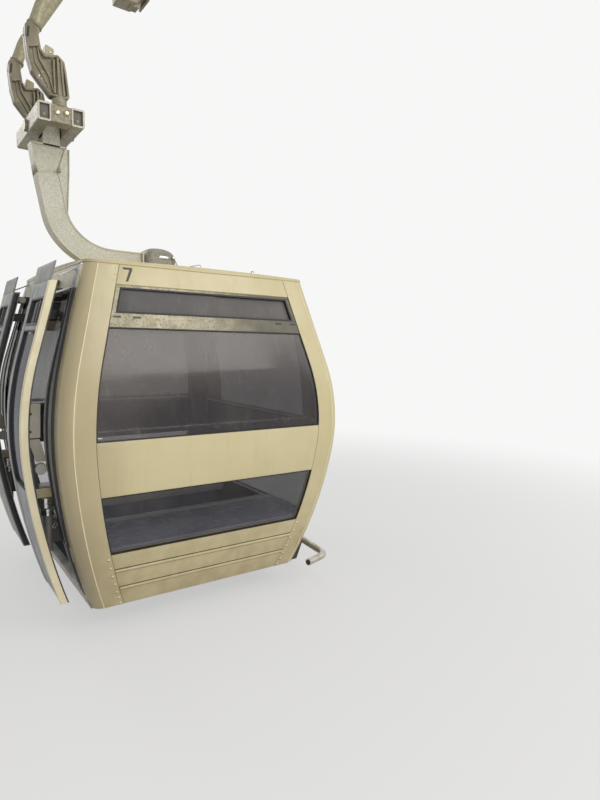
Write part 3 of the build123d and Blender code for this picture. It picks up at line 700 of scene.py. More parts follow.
# Each finish: its usual slot, how it is made, and what that takes
FINISHES = {
    "cream_paint": ("cream_paint", cream_paint),
    # Pale cream for the fold ridges, rivet heads and lip tops: painted highlight.
    "highlight_cream": ("cream_paint", plain_coat, (236, 226, 188), (224, 212, 172), (0.25, 0.4)),
    # Cream paler than the walls' paint, for the leaves' edge profiles: painted light on those edges.
    "edge_cream": ("cream_paint", plain_coat, (238, 228, 192), (229, 218, 181), (0.3, 0.5)),
    "plate_paint": ("cream_paint", plain_coat, (190, 184, 168), (172, 166, 150), (0.4, 0.55)),
    "block_paint": ("cream_paint", plain_coat, (190, 180, 144), (164, 152, 116), (0.4, 0.6)),
    "post_lining": ("cream_paint", plain_coat, (128, 122, 106), (112, 106, 92), (0.5, 0.7)),
    # Dark brown for the lines in the board grooves, under the lips and under the rivets: painted shade.
    "painted_shade": ("cream_paint", plain_coat, (66, 55, 40), (50, 42, 32), (0.6, 0.8)),
    "seam_paint": (None, plain_coat, (116, 102, 74), (92, 80, 58), (0.5, 0.7)),
    "number_ink": (None, plain_coat, (66, 66, 62), (82, 80, 74), (0.5, 0.65)),
    "pale_plastic": (None, plain_coat, (206, 204, 194), (190, 188, 178), (0.3, 0.45)),
    "rubber": (None, black_rubber),
    "tinted_acrylic": ("tinted_pane", tinted_acrylic, (60, 55, 58), 0.56, 0.40),
    "lower_acrylic": ("tinted_pane", tinted_acrylic, (42, 40, 46), 0.28),
    "side_acrylic": ("tinted_pane", tinted_acrylic, (70, 72, 76), 0.12, 0, 1.2),
    "vent_acrylic": ("tinted_pane", tinted_acrylic, (96, 95, 95), 0.94, 0.1, 1.16),
    "leaf_acrylic": ("tinted_pane", tinted_acrylic, (56, 60, 74), 0.92, 0, 1.08),
    "mottled_aluminium": ("aged_aluminium", mottled_aluminium),
    "bare_aluminium": ("aged_aluminium", bare_aluminium),
    "bench_edge": ("aged_aluminium", plain_coat, (228, 228, 226), (212, 212, 210), (0.3, 0.45)),
    "leaf_grey": ("door_paint", plain_coat, (152, 155, 154), (138, 140, 138)),
    "cap_grey": ("door_paint", plain_coat, (134, 132, 124), (118, 117, 110)),
    "dark_steel": ("dark_steel", plain_coat, (56, 55, 52), (74, 70, 62), (0.45, 0.7), 160, 0.15),
    "plug_grey": ("dark_steel", plain_coat, (122, 118, 108), (104, 100, 90), (0.45, 0.6)),
    "bench_shell": ("bench_shell", plain_coat, (188, 192, 214), (166, 168, 190), (0.16, 0.32), 200, 0.03, 0.06),
    "lining": ("floor_tread", plain_coat, (66, 62, 60), (52, 49, 48), (0.5, 0.7)),
    "flooring": ("floor_tread", plain_coat, (74, 75, 78), (60, 61, 64), (0.5, 0.75), 90, 0.5),
    "neck_coat": ("galvanised", weathered_steel, (222, 220, 206), (176, 172, 154), 190, 0.1),
    "neck_edge": ("galvanised", weathered_steel, (224, 220, 202), (188, 182, 160), 200, 0.1),
    "housing_coat": ("galvanised", weathered_steel, (158, 154, 140), (112, 108, 96), 120),
    "tube_coat": ("galvanised", weathered_steel, (160, 154, 134), (118, 112, 94), 70),
    "horn_coat": ("casting", weathered_steel, (176, 168, 138), (146, 140, 112), 60),
    "cast_paint": ("casting", cast_paint),
    "chrome": ("bright_steel", polished_steel, (214, 214, 212), 0.10),
    "stainless": ("bright_steel", polished_steel, (200, 198, 192), 0.20),
    "bumper_steel": ("bright_steel", polished_steel, (196, 190, 178), 0.30),
    "stud_plating": ("bright_steel", polished_steel, (226, 214, 168), 0.22),
}
MATERIALS = {}
for name, (slot, recipe, *values) in FINISHES.items():
    graph = Graph(bpy.data.materials.new(name))
    recipe(graph, *values)
    MATERIALS[name] = graph.owner


# Corner posts

POST_EDGE = 2.5
FOLD_RIDGE, FOLD_WIDE = 2.4, 6
RIVET = 7


def camber(steps):
    """A corner's round as (in from the side wall, in from the end wall) points: a chord, bowed outwards
    by a parabola."""
    turn = np.linspace(0, 1, steps)
    bow = 4 * turn * (1 - turn) * CORNER_DEPTH * (CAMBER - 0.5)
    return CORNER_DEPTH * stack(1 - turn, turn) - bow[:, None]


def post_plan():
    """A corner post's outline as (in from the side wall, in from the end wall). It runs along the end
    face, over the pressed fold, round the camber and along the side face, then back inside."""
    edge, drop = rounded_edge(POST_EDGE)
    return np.vstack([
        stack(POST_FRONT - edge, drop), (CORNER_DEPTH + FOLD_WIDE, 0), camber(13),
        stack(drop, POST_SIDE - edge)[::-1], (WALL, POST_SIDE), (WALL, WALL), (POST_FRONT, WALL),
    ])


def post(plan, sign_x, sign_y):
    """One post: its plan carried up the wall's bulge, with flat ends that have a small round."""
    edge, drop = rounded_edge(3, 3)
    middle = np.linspace(12, TOP - 12, 72)
    heights = np.concatenate([edge, middle, TOP - edge[::-1]])
    shrink = np.concatenate([drop, 0 * middle, drop[::-1]])
    x, y = plan.T[:, None] - (bulge(heights) - shrink)[:, None]
    return skin(stack(sign_x * (HALF_WIDTH - x), sign_y * (HALF_LENGTH - y), (FOOT + heights)[:, None]))


for side, sign_x in (("side", 1), ("door", -1)):
    for end, sign_y in (("far", 1), ("near", -1)):
        corner = post(post_plan(), sign_x, sign_y)
        piece(f"corner_{side}_{end}", corner, "cream_paint", replaces=[f"post_{side}_{end}"], smooth=22)


def uprights(side, across, heights, profile):
    """Bars up both halves of a wall, at a distance across it for each height."""
    return joined(wall_strip(side, stack(sign * across, heights), profile) for sign in (-1, 1))


heights = np.linspace(6, TOP - 6, 60)
fold = rectangle(-FOLD_WIDE / 2, FOLD_WIDE / 2, -1, FOLD_RIDGE, 1.1)
folds = [uprights(s, SIDES[s].half + bulge(heights) - CORNER_DEPTH, heights, fold) for s in ENDS]
# The folds' ridges in pale cream: painted highlight.
piece("post_folds", joined(folds), "highlight_cream", smooth=60)


def rivet_columns(side, gap, heights, head, drop=0):
    """Heads up both post edges of a wall, each below its place by a drop."""
    spots = [on_wall(side, sign * (half_room(side, heights) + gap), heights - drop) for sign in (-1, 1)]
    return head.placed(np.vstack(spots), np.vstack([wall_normal(side, heights)] * 2))


rivet_heights = np.concatenate([[14, 56], np.arange(98, LOWER_GLASS_LOW - 10, 57)])
# Rivet heads in pale cream, a painted highlight, each over a dark disc set lower: a painted shadow.
for name, head, finish, drop in (
    ("post_rivets", dome(RIVET, 12), "highlight_cream", 0),
    ("rivet_shadows", lathe([(RIVET, -1), (RIVET, 0.5)], 14), "painted_shade", 3.5),
):
    rivets = [rivet_columns(s, 19, rivet_heights, head, drop) for s in PANELLED]
    piece(name, joined(rivets), finish, smooth=60)
screw_heights = np.arange(FASCIA_LOW + 20, TOP - 10, 34)
screws = [rivet_columns(s, 16, screw_heights, dome(3.6)) for s in ENDS]
piece("fascia_screws", joined(screws), "plate_paint", smooth=60)


# Wall panels

PANEL = WALL - 4
LIP_LIFT, LIP_WIDE, LIP_GAP = 5, 15, 6
GROOVE = 9
LIP_STEPS = (LIP_GAP, LIP_GAP + 1.5, LIP_GAP + LIP_WIDE, LIP_GAP + LIP_WIDE + 3)
LIP_HEIGHTS = [seam - step for seam in BOARD_SEAMS for step in (-1, 0, *LIP_STEPS)]
WALL_NODES = {
    "near": ("fascia_near", "end_band_near", "end_boards_near"),
    "far": ("fascia_far", "end_band_far", "end_boards_far"),
    "blind": ("side_fascia", "side_band", "side_boards"),
}


def lip_relief(heights):
    """Relief of lapped boards: each board's upper edge stands out, under a groove and above a fall back
    to its face."""
    lift = 0 * heights
    for seam in BOARD_SEAMS:
        below = seam - heights
        lift += np.interp(below, LIP_STEPS, (0, LIP_LIFT, LIP_LIFT, 0), 0, 0)
        lift -= GROOVE * ((below > -0.5) & (below < LIP_GAP))
    return lift


for side, (fascia, band, boards) in WALL_NODES.items():
    panel = partial(slab, side, across=room_less(side, SEAM), thick=PANEL)
    lapped = panel(0, LOWER_GLASS_LOW, rows=24, relief=lip_relief, marks=LIP_HEIGHTS)
    piece(f"fascia_panel_{side}", panel(FASCIA_LOW, TOP), "cream_paint", replaces=[fascia])
    piece(f"band_panel_{side}", panel(BAND_LOW, BAND_HIGH, rows=16), "cream_paint", replaces=[band])
    piece(f"board_panel_{side}", lapped, "cream_paint", replaces=[boards], smooth=25)


def across_wall(side, height, profile, gap):
    """A bar across a wall between its posts, with a gap at each end."""
    room = half_room(side, height) - gap
    return wall_strip(side, stack(np.linspace(-room, room, 12), height), profile)


def board_lines(*bars):
    """Thin bars across the panelled walls, each a distance below every board seam, half its height, and
    from a floor to a top out of the wall."""
    return joined(across_wall(side, seam - below, rectangle(-half, half, floor, top, 0.3), 3)
                  for side in PANELLED for below, half, floor, top in bars for seam in BOARD_SEAMS)


# Dark lines in the board grooves and under the lips: painted shade. Pale lines on the lips' top edges: painted
# highlight.
piece("board_shade_lines", board_lines((2.9, 2.8, -8, -0.6), (25.6, 1.3, -2, 0.6)), "painted_shade", slot=None)
piece("lip_highlights", board_lines((10.2, 1.9, 3, 5.8)), "highlight_cream")

heights = np.linspace(4, TOP - 4, 60)
sealant = rectangle(-SEAM / 2, SEAM / 2, -9, -1.2, 0.3)
seams = [uprights(s, half_room(s, heights) - SEAM / 2, heights, sealant) for s in WALLS]
piece("post_seams", joined(seams), "seam_paint")


def seal_round(side, up, gap, profile, longest):
    """A seal round an opening, up both its sides at some heights and across between them. A gap is left
    to the posts."""
    right = half_room(side, up) - gap
    path = np.vstack([stack(right, up), stack(-right, up)[::-1]])
    return wall_strip(side, divided(path, longest, True), profile, True)


gasket, openings = rectangle(-3, 3, -14, 1.2), []
for side, head in (("near", BAR_LOW), ("far", BAR_LOW), ("blind", FASCIA_LOW)):
    openings += [(side, BAND_HIGH, head), (side, LOWER_GLASS_LOW, BAND_LOW)]
gaskets = [seal_round(s, np.linspace(low + 3, high - 3, 44), 3, gasket, 120) for s, low, high in openings]
piece("window_gaskets", joined(gaskets), "rubber")


# Vent strips

VENT_GAP, VENT_STILE, VENT_RAIL = 3.5, 24, 16
SLOT_LONG, SLOT_HIGH = 45, 9
VENT_TOP = FASCIA_LOW - VENT_RAIL


def vent_strip(side):
    """The vent's frame: top rail, the wide bar under it and two stiles, set back a little."""
    room = room_less(side, VENT_GAP)
    rail = slab(side, VENT_TOP, FASCIA_LOW - 1, room, 30, -3, 2, 6)
    bar = slab(side, BAR_LOW + 1, BAR_HIGH, room, 30, -3, 2, 8)
    stiles = pair(side, BAR_HIGH, VENT_TOP, room_less(side, VENT_GAP + VENT_STILE), room, 30, -3, 2, 6)
    return rail + bar + stiles


def vent_slots(side):
    """Dark edges of the oblong slots near both ends of the bar."""
    middle = BAR_HIGH - 22
    path = centred(SLOT_LONG, SLOT_HIGH, SLOT_HIGH / 2 - 0.2, 5)
    profile = rectangle(0.6 - SLOT_HIGH / 2, 0.8, -6, -2.4, 0.3)
    spots = [sign * (half_room(side, middle) - inward) for sign in (-1, 1) for inward in (36, 150)]
    return joined(wall_strip(side, path + (at, middle), profile, True) for at in spots)


def vent_seal(side):
    """The dark seal round the vent's opening."""
    up = np.linspace(BAR_HIGH + 4, VENT_TOP - 4, 4)
    return seal_round(side, up, VENT_GAP + VENT_STILE + 4, rectangle(-5, 5, -26, -1.5), 100)


def vent_sash(side, from_share, to_share, out):
    """One of the two sliding panes, across from a share to a share of the opening's half width."""
    def limits(heights):
        room = half_room(side, heights) - 30
        return (room * from_share, room * to_share)
    return slab(side, BAR_HIGH + 2, VENT_TOP - 2, limits, 5, out, 1, 5, 6)


for side in ENDS:
    piece(f"vent_frame_strip_{side}", vent_strip(side), "mottled_aluminium", replaces=[f"vent_frame_{side}"])
piece("vent_slots", joined(map(vent_slots, ENDS)), "rubber")
piece("vent_seals", joined(map(vent_seal, ENDS)), "rubber")
sashes = joined(vent_sash(s, -1, 0.08, -14) + vent_sash(s, -0.02, 1, -21) for s in ENDS)
piece("vent_sashes", sashes, "vent_acrylic", replaces=["vent_panes"])


# Door leaves, both standing open

LEAF_IN, LEAF_END = -box_of("door_leaf_near")[::-1, 1]
LEAF_LOW, LEAF_HIGH = height_of("door_leaf_near", 0), height_of("door_leaf_near", 1)
LEAF_THICK = 45
CAP_LOW = LEAF_HIGH - 105
OPEN_IN, OPEN_OUT = LEAF_IN + 80, LEAF_END - 42
PANE_LOW, PANE_HIGH = height_of("door_glass", 0), height_of("door_glass", 1)
VENT_LOW, VENT_HIGH = PANE_HIGH + 30, PANE_HIGH + 180
LEAF_CORNER = 55
LATCH_HEIGHT = 1594
leaf_bar = partial(pair, "leaf")


def window_corners():
    """What is left outside the round lower corners of the leaf's window."""
    turn = np.radians(np.linspace(270, 180, 9))
    arc = LEAF_CORNER * (1 + stack(np.cos(turn), np.sin(turn)))
    corner = prism(np.vstack([(0, 0), arc]), -38, -2)
    left, right = corner.moved(OPEN_IN, PANE_LOW), corner.mirrored(0).moved(OPEN_OUT, PANE_LOW)
    return (laid(left, "leaf") + laid(right, "leaf")).both(1)


leaf = joined([
    leaf_bar(LEAF_LOW, CAP_LOW, LEAF_IN, OPEN_IN, LEAF_THICK, 0, 4, 44, 5),
    leaf_bar(LEAF_LOW, PANE_LOW, OPEN_IN, OPEN_OUT, 38, -3, 2, 20, 5),
    leaf_bar(PANE_HIGH, VENT_LOW, OPEN_IN, OPEN_OUT, 38, -2, 2, 4, 5),
    leaf_bar(VENT_HIGH, CAP_LOW, OPEN_IN, OPEN_OUT, 40, -1, 2, 4, 5),
    window_corners(),
])
piece("leaf_frames", leaf, "leaf_grey", replaces=["door_leaf_near", "door_leaf_far"])
piece("leaf_caps", leaf_bar(CAP_LOW - 2, LEAF_HIGH, LEAF_IN, LEAF_END, 8, 0, 1.5, 5, 8), "cap_grey")
# Edge profiles in a cream paler than the walls': painted light on the leaves' edges.
piece("leaf_edge_profiles", leaf_bar(LEAF_LOW, CAP_LOW, OPEN_OUT, LEAF_END, 38, 1, 5, 44), "edge_cream")
inner_bar = leaf_bar(LEAF_LOW + 2, CAP_LOW - 2, OPEN_OUT + 3, LEAF_END - 2, 8.5, -36.5, 1.5, 44)
piece("leaf_inner_edges", inner_bar, "dark_steel")
hollow = leaf_bar(CAP_LOW - 3, CAP_LOW + 0.6, OPEN_OUT + 7, LEAF_END - 6, 23, -7, 0.4, 3, 3)
piece("leaf_profile_ends", hollow, "rubber")

window = rounded_path([(OPEN_IN, PANE_HIGH), (OPEN_IN, PANE_LOW), (OPEN_OUT, PANE_LOW), (OPEN_OUT, PANE_HIGH)],
                      LEAF_CORNER)
seal = wall_strip("leaf", divided(window, 50, True), rectangle(-7, 3, -20, 1.5, 1.5), True)
vent_hole = rectangle(OPEN_IN, OPEN_OUT, VENT_LOW, VENT_HIGH, 10, 4, 60)
vent_ring = wall_strip("leaf", vent_hole, rectangle(-9, 4, -36, 1.5, 1.5), True)
nose_path = stack(LEAF_IN, np.linspace(LEAF_LOW + 10, CAP_LOW - 10, 50))
nose = wall_strip("leaf", nose_path, rectangle(-9, 3, -38, -6, 4))
piece("leaf_seals", joined([seal, vent_ring, nose]).both(1), "rubber")
vent_bars = (leaf_bar(VENT_LOW, VENT_HIGH, OPEN_IN + 205, OPEN_IN + 231, 22, -6, 2, 4, 3)
             + leaf_bar(VENT_LOW, VENT_HIGH, OPEN_IN + 148, OPEN_IN + 160, 16, -8, 2, 4, 3))
piece("leaf_vent_bars", vent_bars, "dark_steel")
vent_panes = leaf_bar(VENT_LOW, VENT_HIGH, OPEN_IN + 2, OPEN_IN + 150, 5, -12, 1, 4)
piece("leaf_vent_panes", vent_panes, "leaf_acrylic")
latch = laid(prism(oblong(OPEN_OUT - 120, LATCH_HEIGHT, 24, 12), -12, 5, 2), "leaf")
piece("leaf_latch_marks", latch.both(1), "pale_plastic")


# Fixed side panels and door edge trims

DOOR_HALF = box_of("door_sill")[1, 1]
SIDE_IN, SIDE_OUT = DOOR_HALF + 60, -box_of("side_panel_glass")[0, 1] - 4
SIDE_LOW, SIDE_HIGH = height_of("side_panel_glass", 0), height_of("side_panel_glass", 1)
STRIP_LOW = 400
SHEET = 12
strip = partial(pair, "door")


def side_share(share):
    """Distance across of a share of the room between the side window and the post, by height."""
    return lambda height: SIDE_OUT + (half_room("door", height) - SIDE_OUT) * share


def share_strip(first, last, thick, out, round_by=2, low=STRIP_LOW, high=HEADER_LOW, rows=50):
    """An upright strip between two shares of that room, on both sides of the doorway."""
    return strip(low, high, side_share(first), side_share(last), thick, out, round_by, rows)


sheet = joined([
    strip(1, HEADER_LOW, DOOR_HALF, SIDE_IN + 1, SHEET, rows=50),
    share_strip(0, 1, SHEET, 0, low=1, high=TOP - 1),
    strip(1, SIDE_LOW - 4, SIDE_IN, SIDE_OUT, SHEET, rows=30),
    strip(SIDE_HIGH, TOP - 1, DOOR_HALF, SIDE_OUT, SHEET, rows=5),
])
piece("side_sheets", sheet, "leaf_grey", slot="cream_paint", replaces=["side_panel_near", "side_panel_far"])
black_frame = joined([
    strip(SILL_HIGH, HEADER_LOW - 2, DOOR_HALF - 1, SIDE_IN, 17, 4, 3, 50),
    strip(1622, 1685, SIDE_IN, SIDE_OUT, 26, 3, 2, 5),
    strip(SIDE_HIGH - 6, HEADER_LOW - 2, SIDE_IN - 2, SIDE_OUT, 20, 3, 2, 5),
    strip(SIDE_LOW - 26, SIDE_LOW + 3, SIDE_IN - 2, SIDE_OUT, 14, 2, 2, 4),
])
piece("side_panel_frames", black_frame, "dark_steel")
piece("side_bright_strips", share_strip(0, 0.26, 12, 3, low=SILL_HIGH), "bare_aluminium")
piece("side_grey_strips", share_strip(0.46, 0.80, 16, 5, 4), "leaf_grey")
dark_lines = share_strip(0.28, 0.44, 18, 9, 5) + share_strip(0.82, 0.99, 18, 9, 5)
piece("side_rubber_lines", dark_lines, "rubber")
piece("side_foot_strips", share_strip(0.86, 0.985, 8, 2, 2, 20, STRIP_LOW, 20), "bare_aluminium")
track = slab("gap", 1893, 1920, 340, 20, 22, 2, 5, 12) + slab("gap", 1887, 1899, 340, 5, 26, 1, 4, 12)
piece("door_track", track, "dark_steel")
sill_trim = slab("door", SILL_HIGH - 22, SILL_HIGH + 1, DOOR_HALF - 1, 48, 3, 2, 5, 10)
piece("sill_trim", sill_trim, "bare_aluminium")


# What carries each leaf, in the room between it and the wall

GAP_Y = -650
# The plates and arms reach across nearly all of the room
ACROSS = (1, 94)


def in_gap(points, y=GAP_Y):
    """Places of (out from the wall, height) points in the upright plane across the wall at one y."""
    out, height = np.asarray(points, float).T
    return stack(-HALF_WIDTH - bulge(height) - out, y, FOOT + height)


def gap_plate(points, low, high, bevel=1.5, radius=6):
    """A plate across the gap from (out, height) points, y from low to high, with its twin."""
    return upright(rounded_loop(in_gap(points)[:, ::2], radius), low, high, bevel).both(1)


def cross_plate(low, high, *depth):
    """A plate from wall to leaf between two heights."""
    near, far = ACROSS
    return gap_plate([(near, low), (far, low), (far, high), (near, high)], *depth)


def bearing(height, radius, tall):
    """A bright bearing on an upright axis, with a groove round it."""
    edge, groove = 2, radius - 3
    profile = [(radius - edge, 0), (radius, edge), (radius, tall * 0.4), (groove, tall * 0.45),
               (groove, tall * 0.55), (radius, tall * 0.6), (radius, tall - edge), (radius - edge, tall)]
    return lathe(profile).moved(*in_gap((45, height)))


def roller(radius, rim, edge, thick, out, height, y):
    """A roller on an axis along the rope, its rim's edges cut."""
    profile = [(radius, 0), (rim, edge), (rim, thick - edge), (radius, thick)]
    return lathe(profile).placed(in_gap((out, height), y), TO_NEAR)


hinge_plate = gap_plate([(26, 1015), (94.5, 1015), (94.5, 1207), (31, 1207)], -690, -680)
link_plate = gap_plate([(3, 880), (57, 880), (90, 1008), (29, 1008)], -688, -678)
piece("door_hinge_plates", hinge_plate + link_plate, "plate_paint", slot="door_paint")
screws = dome(8, 14).placed(in_gap([(78, 1050), (78, 1150)], -690), TO_NEAR)
piece("door_hinge_screws", screws.both(1), "dark_steel")
rollers = roller(30, 33, 4, 36, 34, 834, -640) + roller(22, 24, 3, 23, 48, 1836, -478)
piece("door_rollers", rollers.both(1), "pale_plastic")
curve = pair("gap", 700, 1205, 627, 673, 32, 94, 3, 20)
piece("door_curved_strips", curve, "rubber", replaces=["door_arms_near", "door_arms_far"])
piece("door_blocks", cross_plate(668, 722, -674, -626, 3, 5), "cream_paint")
piece("door_bearings", (bearing(608, 44, 58) + bearing(560, 36, 42)).both(1), "chrome")
tube = lathe([(25, -105), (25, 100), (21, 106)]).moved(*in_gap((64, 455)))
piece("door_tubes", tube.both(1), "plug_grey", slot="galvanised")
bracket = gap_plate([(1, 400), (94, 400), (94, 440), (52, 452), (34, 500), (28, 532), (1, 532)], -672, -628, 2)
arms = cross_plate(1810, 1860, -503, -497, 1) + cross_plate(1680, 1736, -460, -450, 1)
piece("door_brackets", bracket + arms, "dark_steel")
loop = rounded_loop(in_gap([(6, 505), (30, 480), (38, 492), (12, 520)], -673), 3)
piece("door_bracket_slots", sweep(loop, ring(2.2, 6), ALONG_ROPE, True).both(1), "stainless", slot=None)
rod_ends = np.array([[(-738, -659, 1962), (-850, -748, 1908)], [(-768, -673, 1852), (-870, -765, 1815)]])
rods = joined(sweep(ends, ring(5, 10)) for ends in rod_ends + (0, 0, FOOT))
piece("door_stay_rods", rods.both(1), "bench_edge")


# Swan neck

PIVOT = box_of("swing_pin").mean(0)
NECK_X = PIVOT[0]
NECK_START, NECK_DEEP = box_of("swan_neck")[1, :2]
NECK_WIDE, NECK_BEND = 140, 375
NECK_MIDDLE = box_of("swan_neck")[0, 2] + NECK_WIDE / 2
PLATE = 8
WEB_INSET = 6
LUG = 51
HEAD_LEFT, HEAD_RIGHT, HEAD_HIGH = -120, 92, 2795


def on_neck(*points):
    """Places (x, z) of points as x from the pin's axis and a height above the cabin's foot."""
    return np.array(points, float) + (NECK_X, FOOT)


def eased(line, reach=70, count=90):
    """A line of points with its corners eased: points evenly spaced along it, each the mean over a reach."""
    travel = np.concatenate([[0], np.cumsum(np.linalg.norm(np.diff(line, axis=0), axis=1))])
    spots = np.linspace(0, travel[-1], count)
    steps = np.linspace(-1, 1, 15) * np.minimum(reach, np.minimum(spots, travel[-1] - spots))[:, None]
    return stack(*[np.interp(spots[:, None] + steps, travel, line[:, k]).mean(1) for k in (0, 1)])


def neck_edge(radius, tail):
    """One edge of the neck as (x, z): level from the housing, round the bend, then on to the tail."""
    angle = np.radians(np.linspace(270, 203, 26))
    middle = (NECK_X + NECK_BEND, NECK_MIDDLE + NECK_BEND)
    bend = middle + radius * stack(np.cos(angle), np.sin(angle))
    start = np.linspace((NECK_START, bend[0, 1]), bend[0], 6)[:-1]
    return eased(np.vstack([start, bend, tail]))


def edge_plate(line, towards, half_deep=NECK_DEEP, thick=PLATE):
    """A plate that stands across the neck along one of its edges."""
    return box_run(line, line + unit(towards - line) * thick, -half_deep, half_deep)


def web(first, second, half_deep):
    """A bar between two lines, inside the plates that lie along both of them."""
    step = unit(second - first) * PLATE / 2
    return box_run(first + step, second - step, -half_deep, half_deep)


def weld(line, y, radius=3):
    """A bead along a line of (x, z) at one y."""
    return sweep(standing(line, y), ring(radius, 8), ALONG_ROPE)


throat = on_neck((-93, 2614), (42, 2639))
outer = neck_edge(NECK_BEND + NECK_WIDE / 2, np.linspace(on_neck((-38, 2330))[0], throat[0], 5))
inner_tail = on_neck((86, 2405), (78, 2460), (70, 2515), (57, 2577))
inner = neck_edge(NECK_BEND - NECK_WIDE / 2, np.vstack([inner_tail, throat[1]]))
head_top = on_neck((HEAD_LEFT, HEAD_HIGH), (HEAD_RIGHT, HEAD_HIGH))
head_left, head_right = np.linspace(throat, head_top, 4).swapaxes(0, 1)
head_floor = on_neck((HEAD_LEFT, HEAD_HIGH - PLATE), (HEAD_LEFT, HEAD_HIGH + 2))
lug_left = on_neck((-LUG, 2785), (-LUG, PIVOT[2] - FOOT))
gusset_first = np.vstack([inner[inner[:, 1] > FOOT + 2300], head_right[1:]])
gusset_last = stack(NECK_X + np.linspace(97, 116, len(gusset_first)), gusset_first[:, 1])
bodies = joined([
    web(outer, inner, NECK_DEEP - WEB_INSET),
    web(head_left, head_right, NECK_DEEP - 14),
    web(gusset_first, gusset_last, 24),
    box_run(lug_left, lug_left + (2 * LUG, 0), -NECK_DEEP, NECK_DEEP),
    lathe([(NECK_DEEP - 2, -LUG), (NECK_DEEP, 2 - LUG), (NECK_DEEP, LUG - 2), (NECK_DEEP - 2, LUG)], 40).placed(
        PIVOT, (1, 0, 0)),
])
piece("neck_box", bodies, "neck_coat", replaces=["swan_neck"], smooth=25)
plates = joined([
    edge_plate(outer, inner),
    edge_plate(inner, outer),
    edge_plate(head_left, head_right),
    edge_plate(head_right, head_left),
    edge_plate(gusset_last, gusset_first, 34, 6),
    box_run(head_floor, head_floor + (HEAD_RIGHT - HEAD_LEFT, 0), -NECK_DEEP, NECK_DEEP),
])
piece("neck_edge_plates", plates, "neck_edge", smooth=25)
weld_y = WEB_INSET - NECK_DEEP
inward = unit(inner - outer) * (PLATE + 1)
beads = joined([weld(outer + inward, weld_y), weld(inner - inward, weld_y), weld(throat, weld_y, 4)])
piece("neck_welds", beads.both(1), "neck_edge", smooth=60)
knob = lathe([(7, 0), (7, 10), (12, 12), (13, 18), (9, 25), (0, 27)], 20)
knob_at = (throat[1, 0] - 3, -NECK_DEEP, throat[1, 1])
piece("neck_knob", knob.placed(knob_at, TO_NEAR), "tube_coat", slot="bright_steel")


# Carrier frame

TUBE_OFFSET, TUBE_WIDE, TUBE_HIGH = 95, 76, 105
CARRIER_END = box_of("carrier_frame")[1, 1]
ARM_Y = 50 - CARRIER_END
carried = partial(piece, body="carrier")


def at_mouths(form, inset_by=0):
    """Copies of a shape, its own Z facing out, at the four tube mouths."""
    spots = [(NECK_X + offset, inset_by - CARRIER_END, PIVOT[2]) for offset in (-TUBE_OFFSET, TUBE_OFFSET)]
    return form.placed(spots, TO_NEAR).both(1)


rim = sweep(level(centred(TUBE_WIDE - 9, TUBE_HIGH - 9, 8, 5)), rectangle(-6, 6, -1, 3, 1.2), UP, True)
carried("tube_rims", at_mouths(rim), "neck_edge")
carried("tube_plugs", at_mouths(prism(centred(61, 90, 3, 5), -6, 0, 1), 14), "plug_grey")
carried("tube_plug_bolts", at_mouths(bolt(6, 6, 1.2).moved(0, -14), 14), "plate_paint", slot="bright_steel")
spots = standing(on_neck((-25, 2903), (27, 2911)), -CARRIER_END)
socket = lathe([(17, 0), (17, 2), (15, 3)], 24)
carried("tie_sockets", socket.placed(spots, TO_NEAR).both(1), "tube_coat")
stud = lathe([(11, 0), (12, 2), (12, 13), (9, 17), (0, 18)], 20)
carried("tie_studs", stud.placed(spots, TO_NEAR).both(1), "stud_plating")
tie_ends = [(NECK_X, -CARRIER_END - 1, PIVOT[2] + rise) for rise in (-48, 48)]
tie_line, tie_x = sweep(tie_ends, ring(3, 8), ALONG_ROPE), TUBE_OFFSET - TUBE_WIDE / 2
tie_lines = tie_line.moved(-tie_x, 0) + tie_line.moved(tie_x, 0)
carried("tie_welds", tie_lines.both(1), "tube_coat", smooth=60)
collar = lathe([(50, 0), (50, 6), (44, 10)], 36).moved(NECK_X, ARM_Y, PIVOT[2] + TUBE_HIGH / 2)
carried("boss_collars", collar.both(1), "tube_coat")


# Upper castings and their horns

CAST_BASE = height_of("upper_arm_near", 0)
CAST_HALF = 38
# Outline of the casting: x from the boss's axis, height over the base
CASTING = [
    (-54, 0), (54, 0), (44, 80), (36, 150), (25, 209), (-10, 240), (-80, 220), (-104, 250), (-123, 369),
    (-161, 385), (-189, 359), (-187, 292), (-177, 197), (-156, 119), (-104, 57),
]
# Each rib: its line, from and to a distance out of the middle plane, and its width
RIBS = (
    ([(-126, 300), (-112, 196), (-58, 108), (-34, 20)], 12, 30, 9),
    ([(-148, 300), (-134, 170), (-80, 84), (-46, 10)], 12, 22, 7),
    ([(-32, 18), (-36, 205)], 12, 40, 10),
    ([(-8, 12), (-14, 220)], 12, 41, 11),
    ([(20, 14), (6, 214)], 12, 41, 12),
)
HORN_RADIUS, HORN_BEND = 36, 300
GRIP_BACK = -box_of("rope_grip_near")[0, 0]


def on_casting(*points):
    """Places (x, z) of points as x from the boss's axis and a height over the casting's base."""
    return on_neck(*points) + (0, CAST_BASE)


def arm_plate(outline, half_deep, bevel=0):
    """A plate from an outline of (x, z) points, about the near arm's middle plane."""
    return upright(outline, ARM_Y - half_deep, ARM_Y + half_deep, bevel)


def rib(points, low, high, wide):
    """A rib along (x, height) points of the casting, on both faces."""
    path = on_casting(*points)
    path = standing(rounded_path(path, 30, 6) if len(path) > 2 else path)
    form = sweep(path, rectangle(-wide / 2, wide / 2, low, high, 2), ALONG_ROPE)
    return form.both(1).moved(0, ARM_Y)


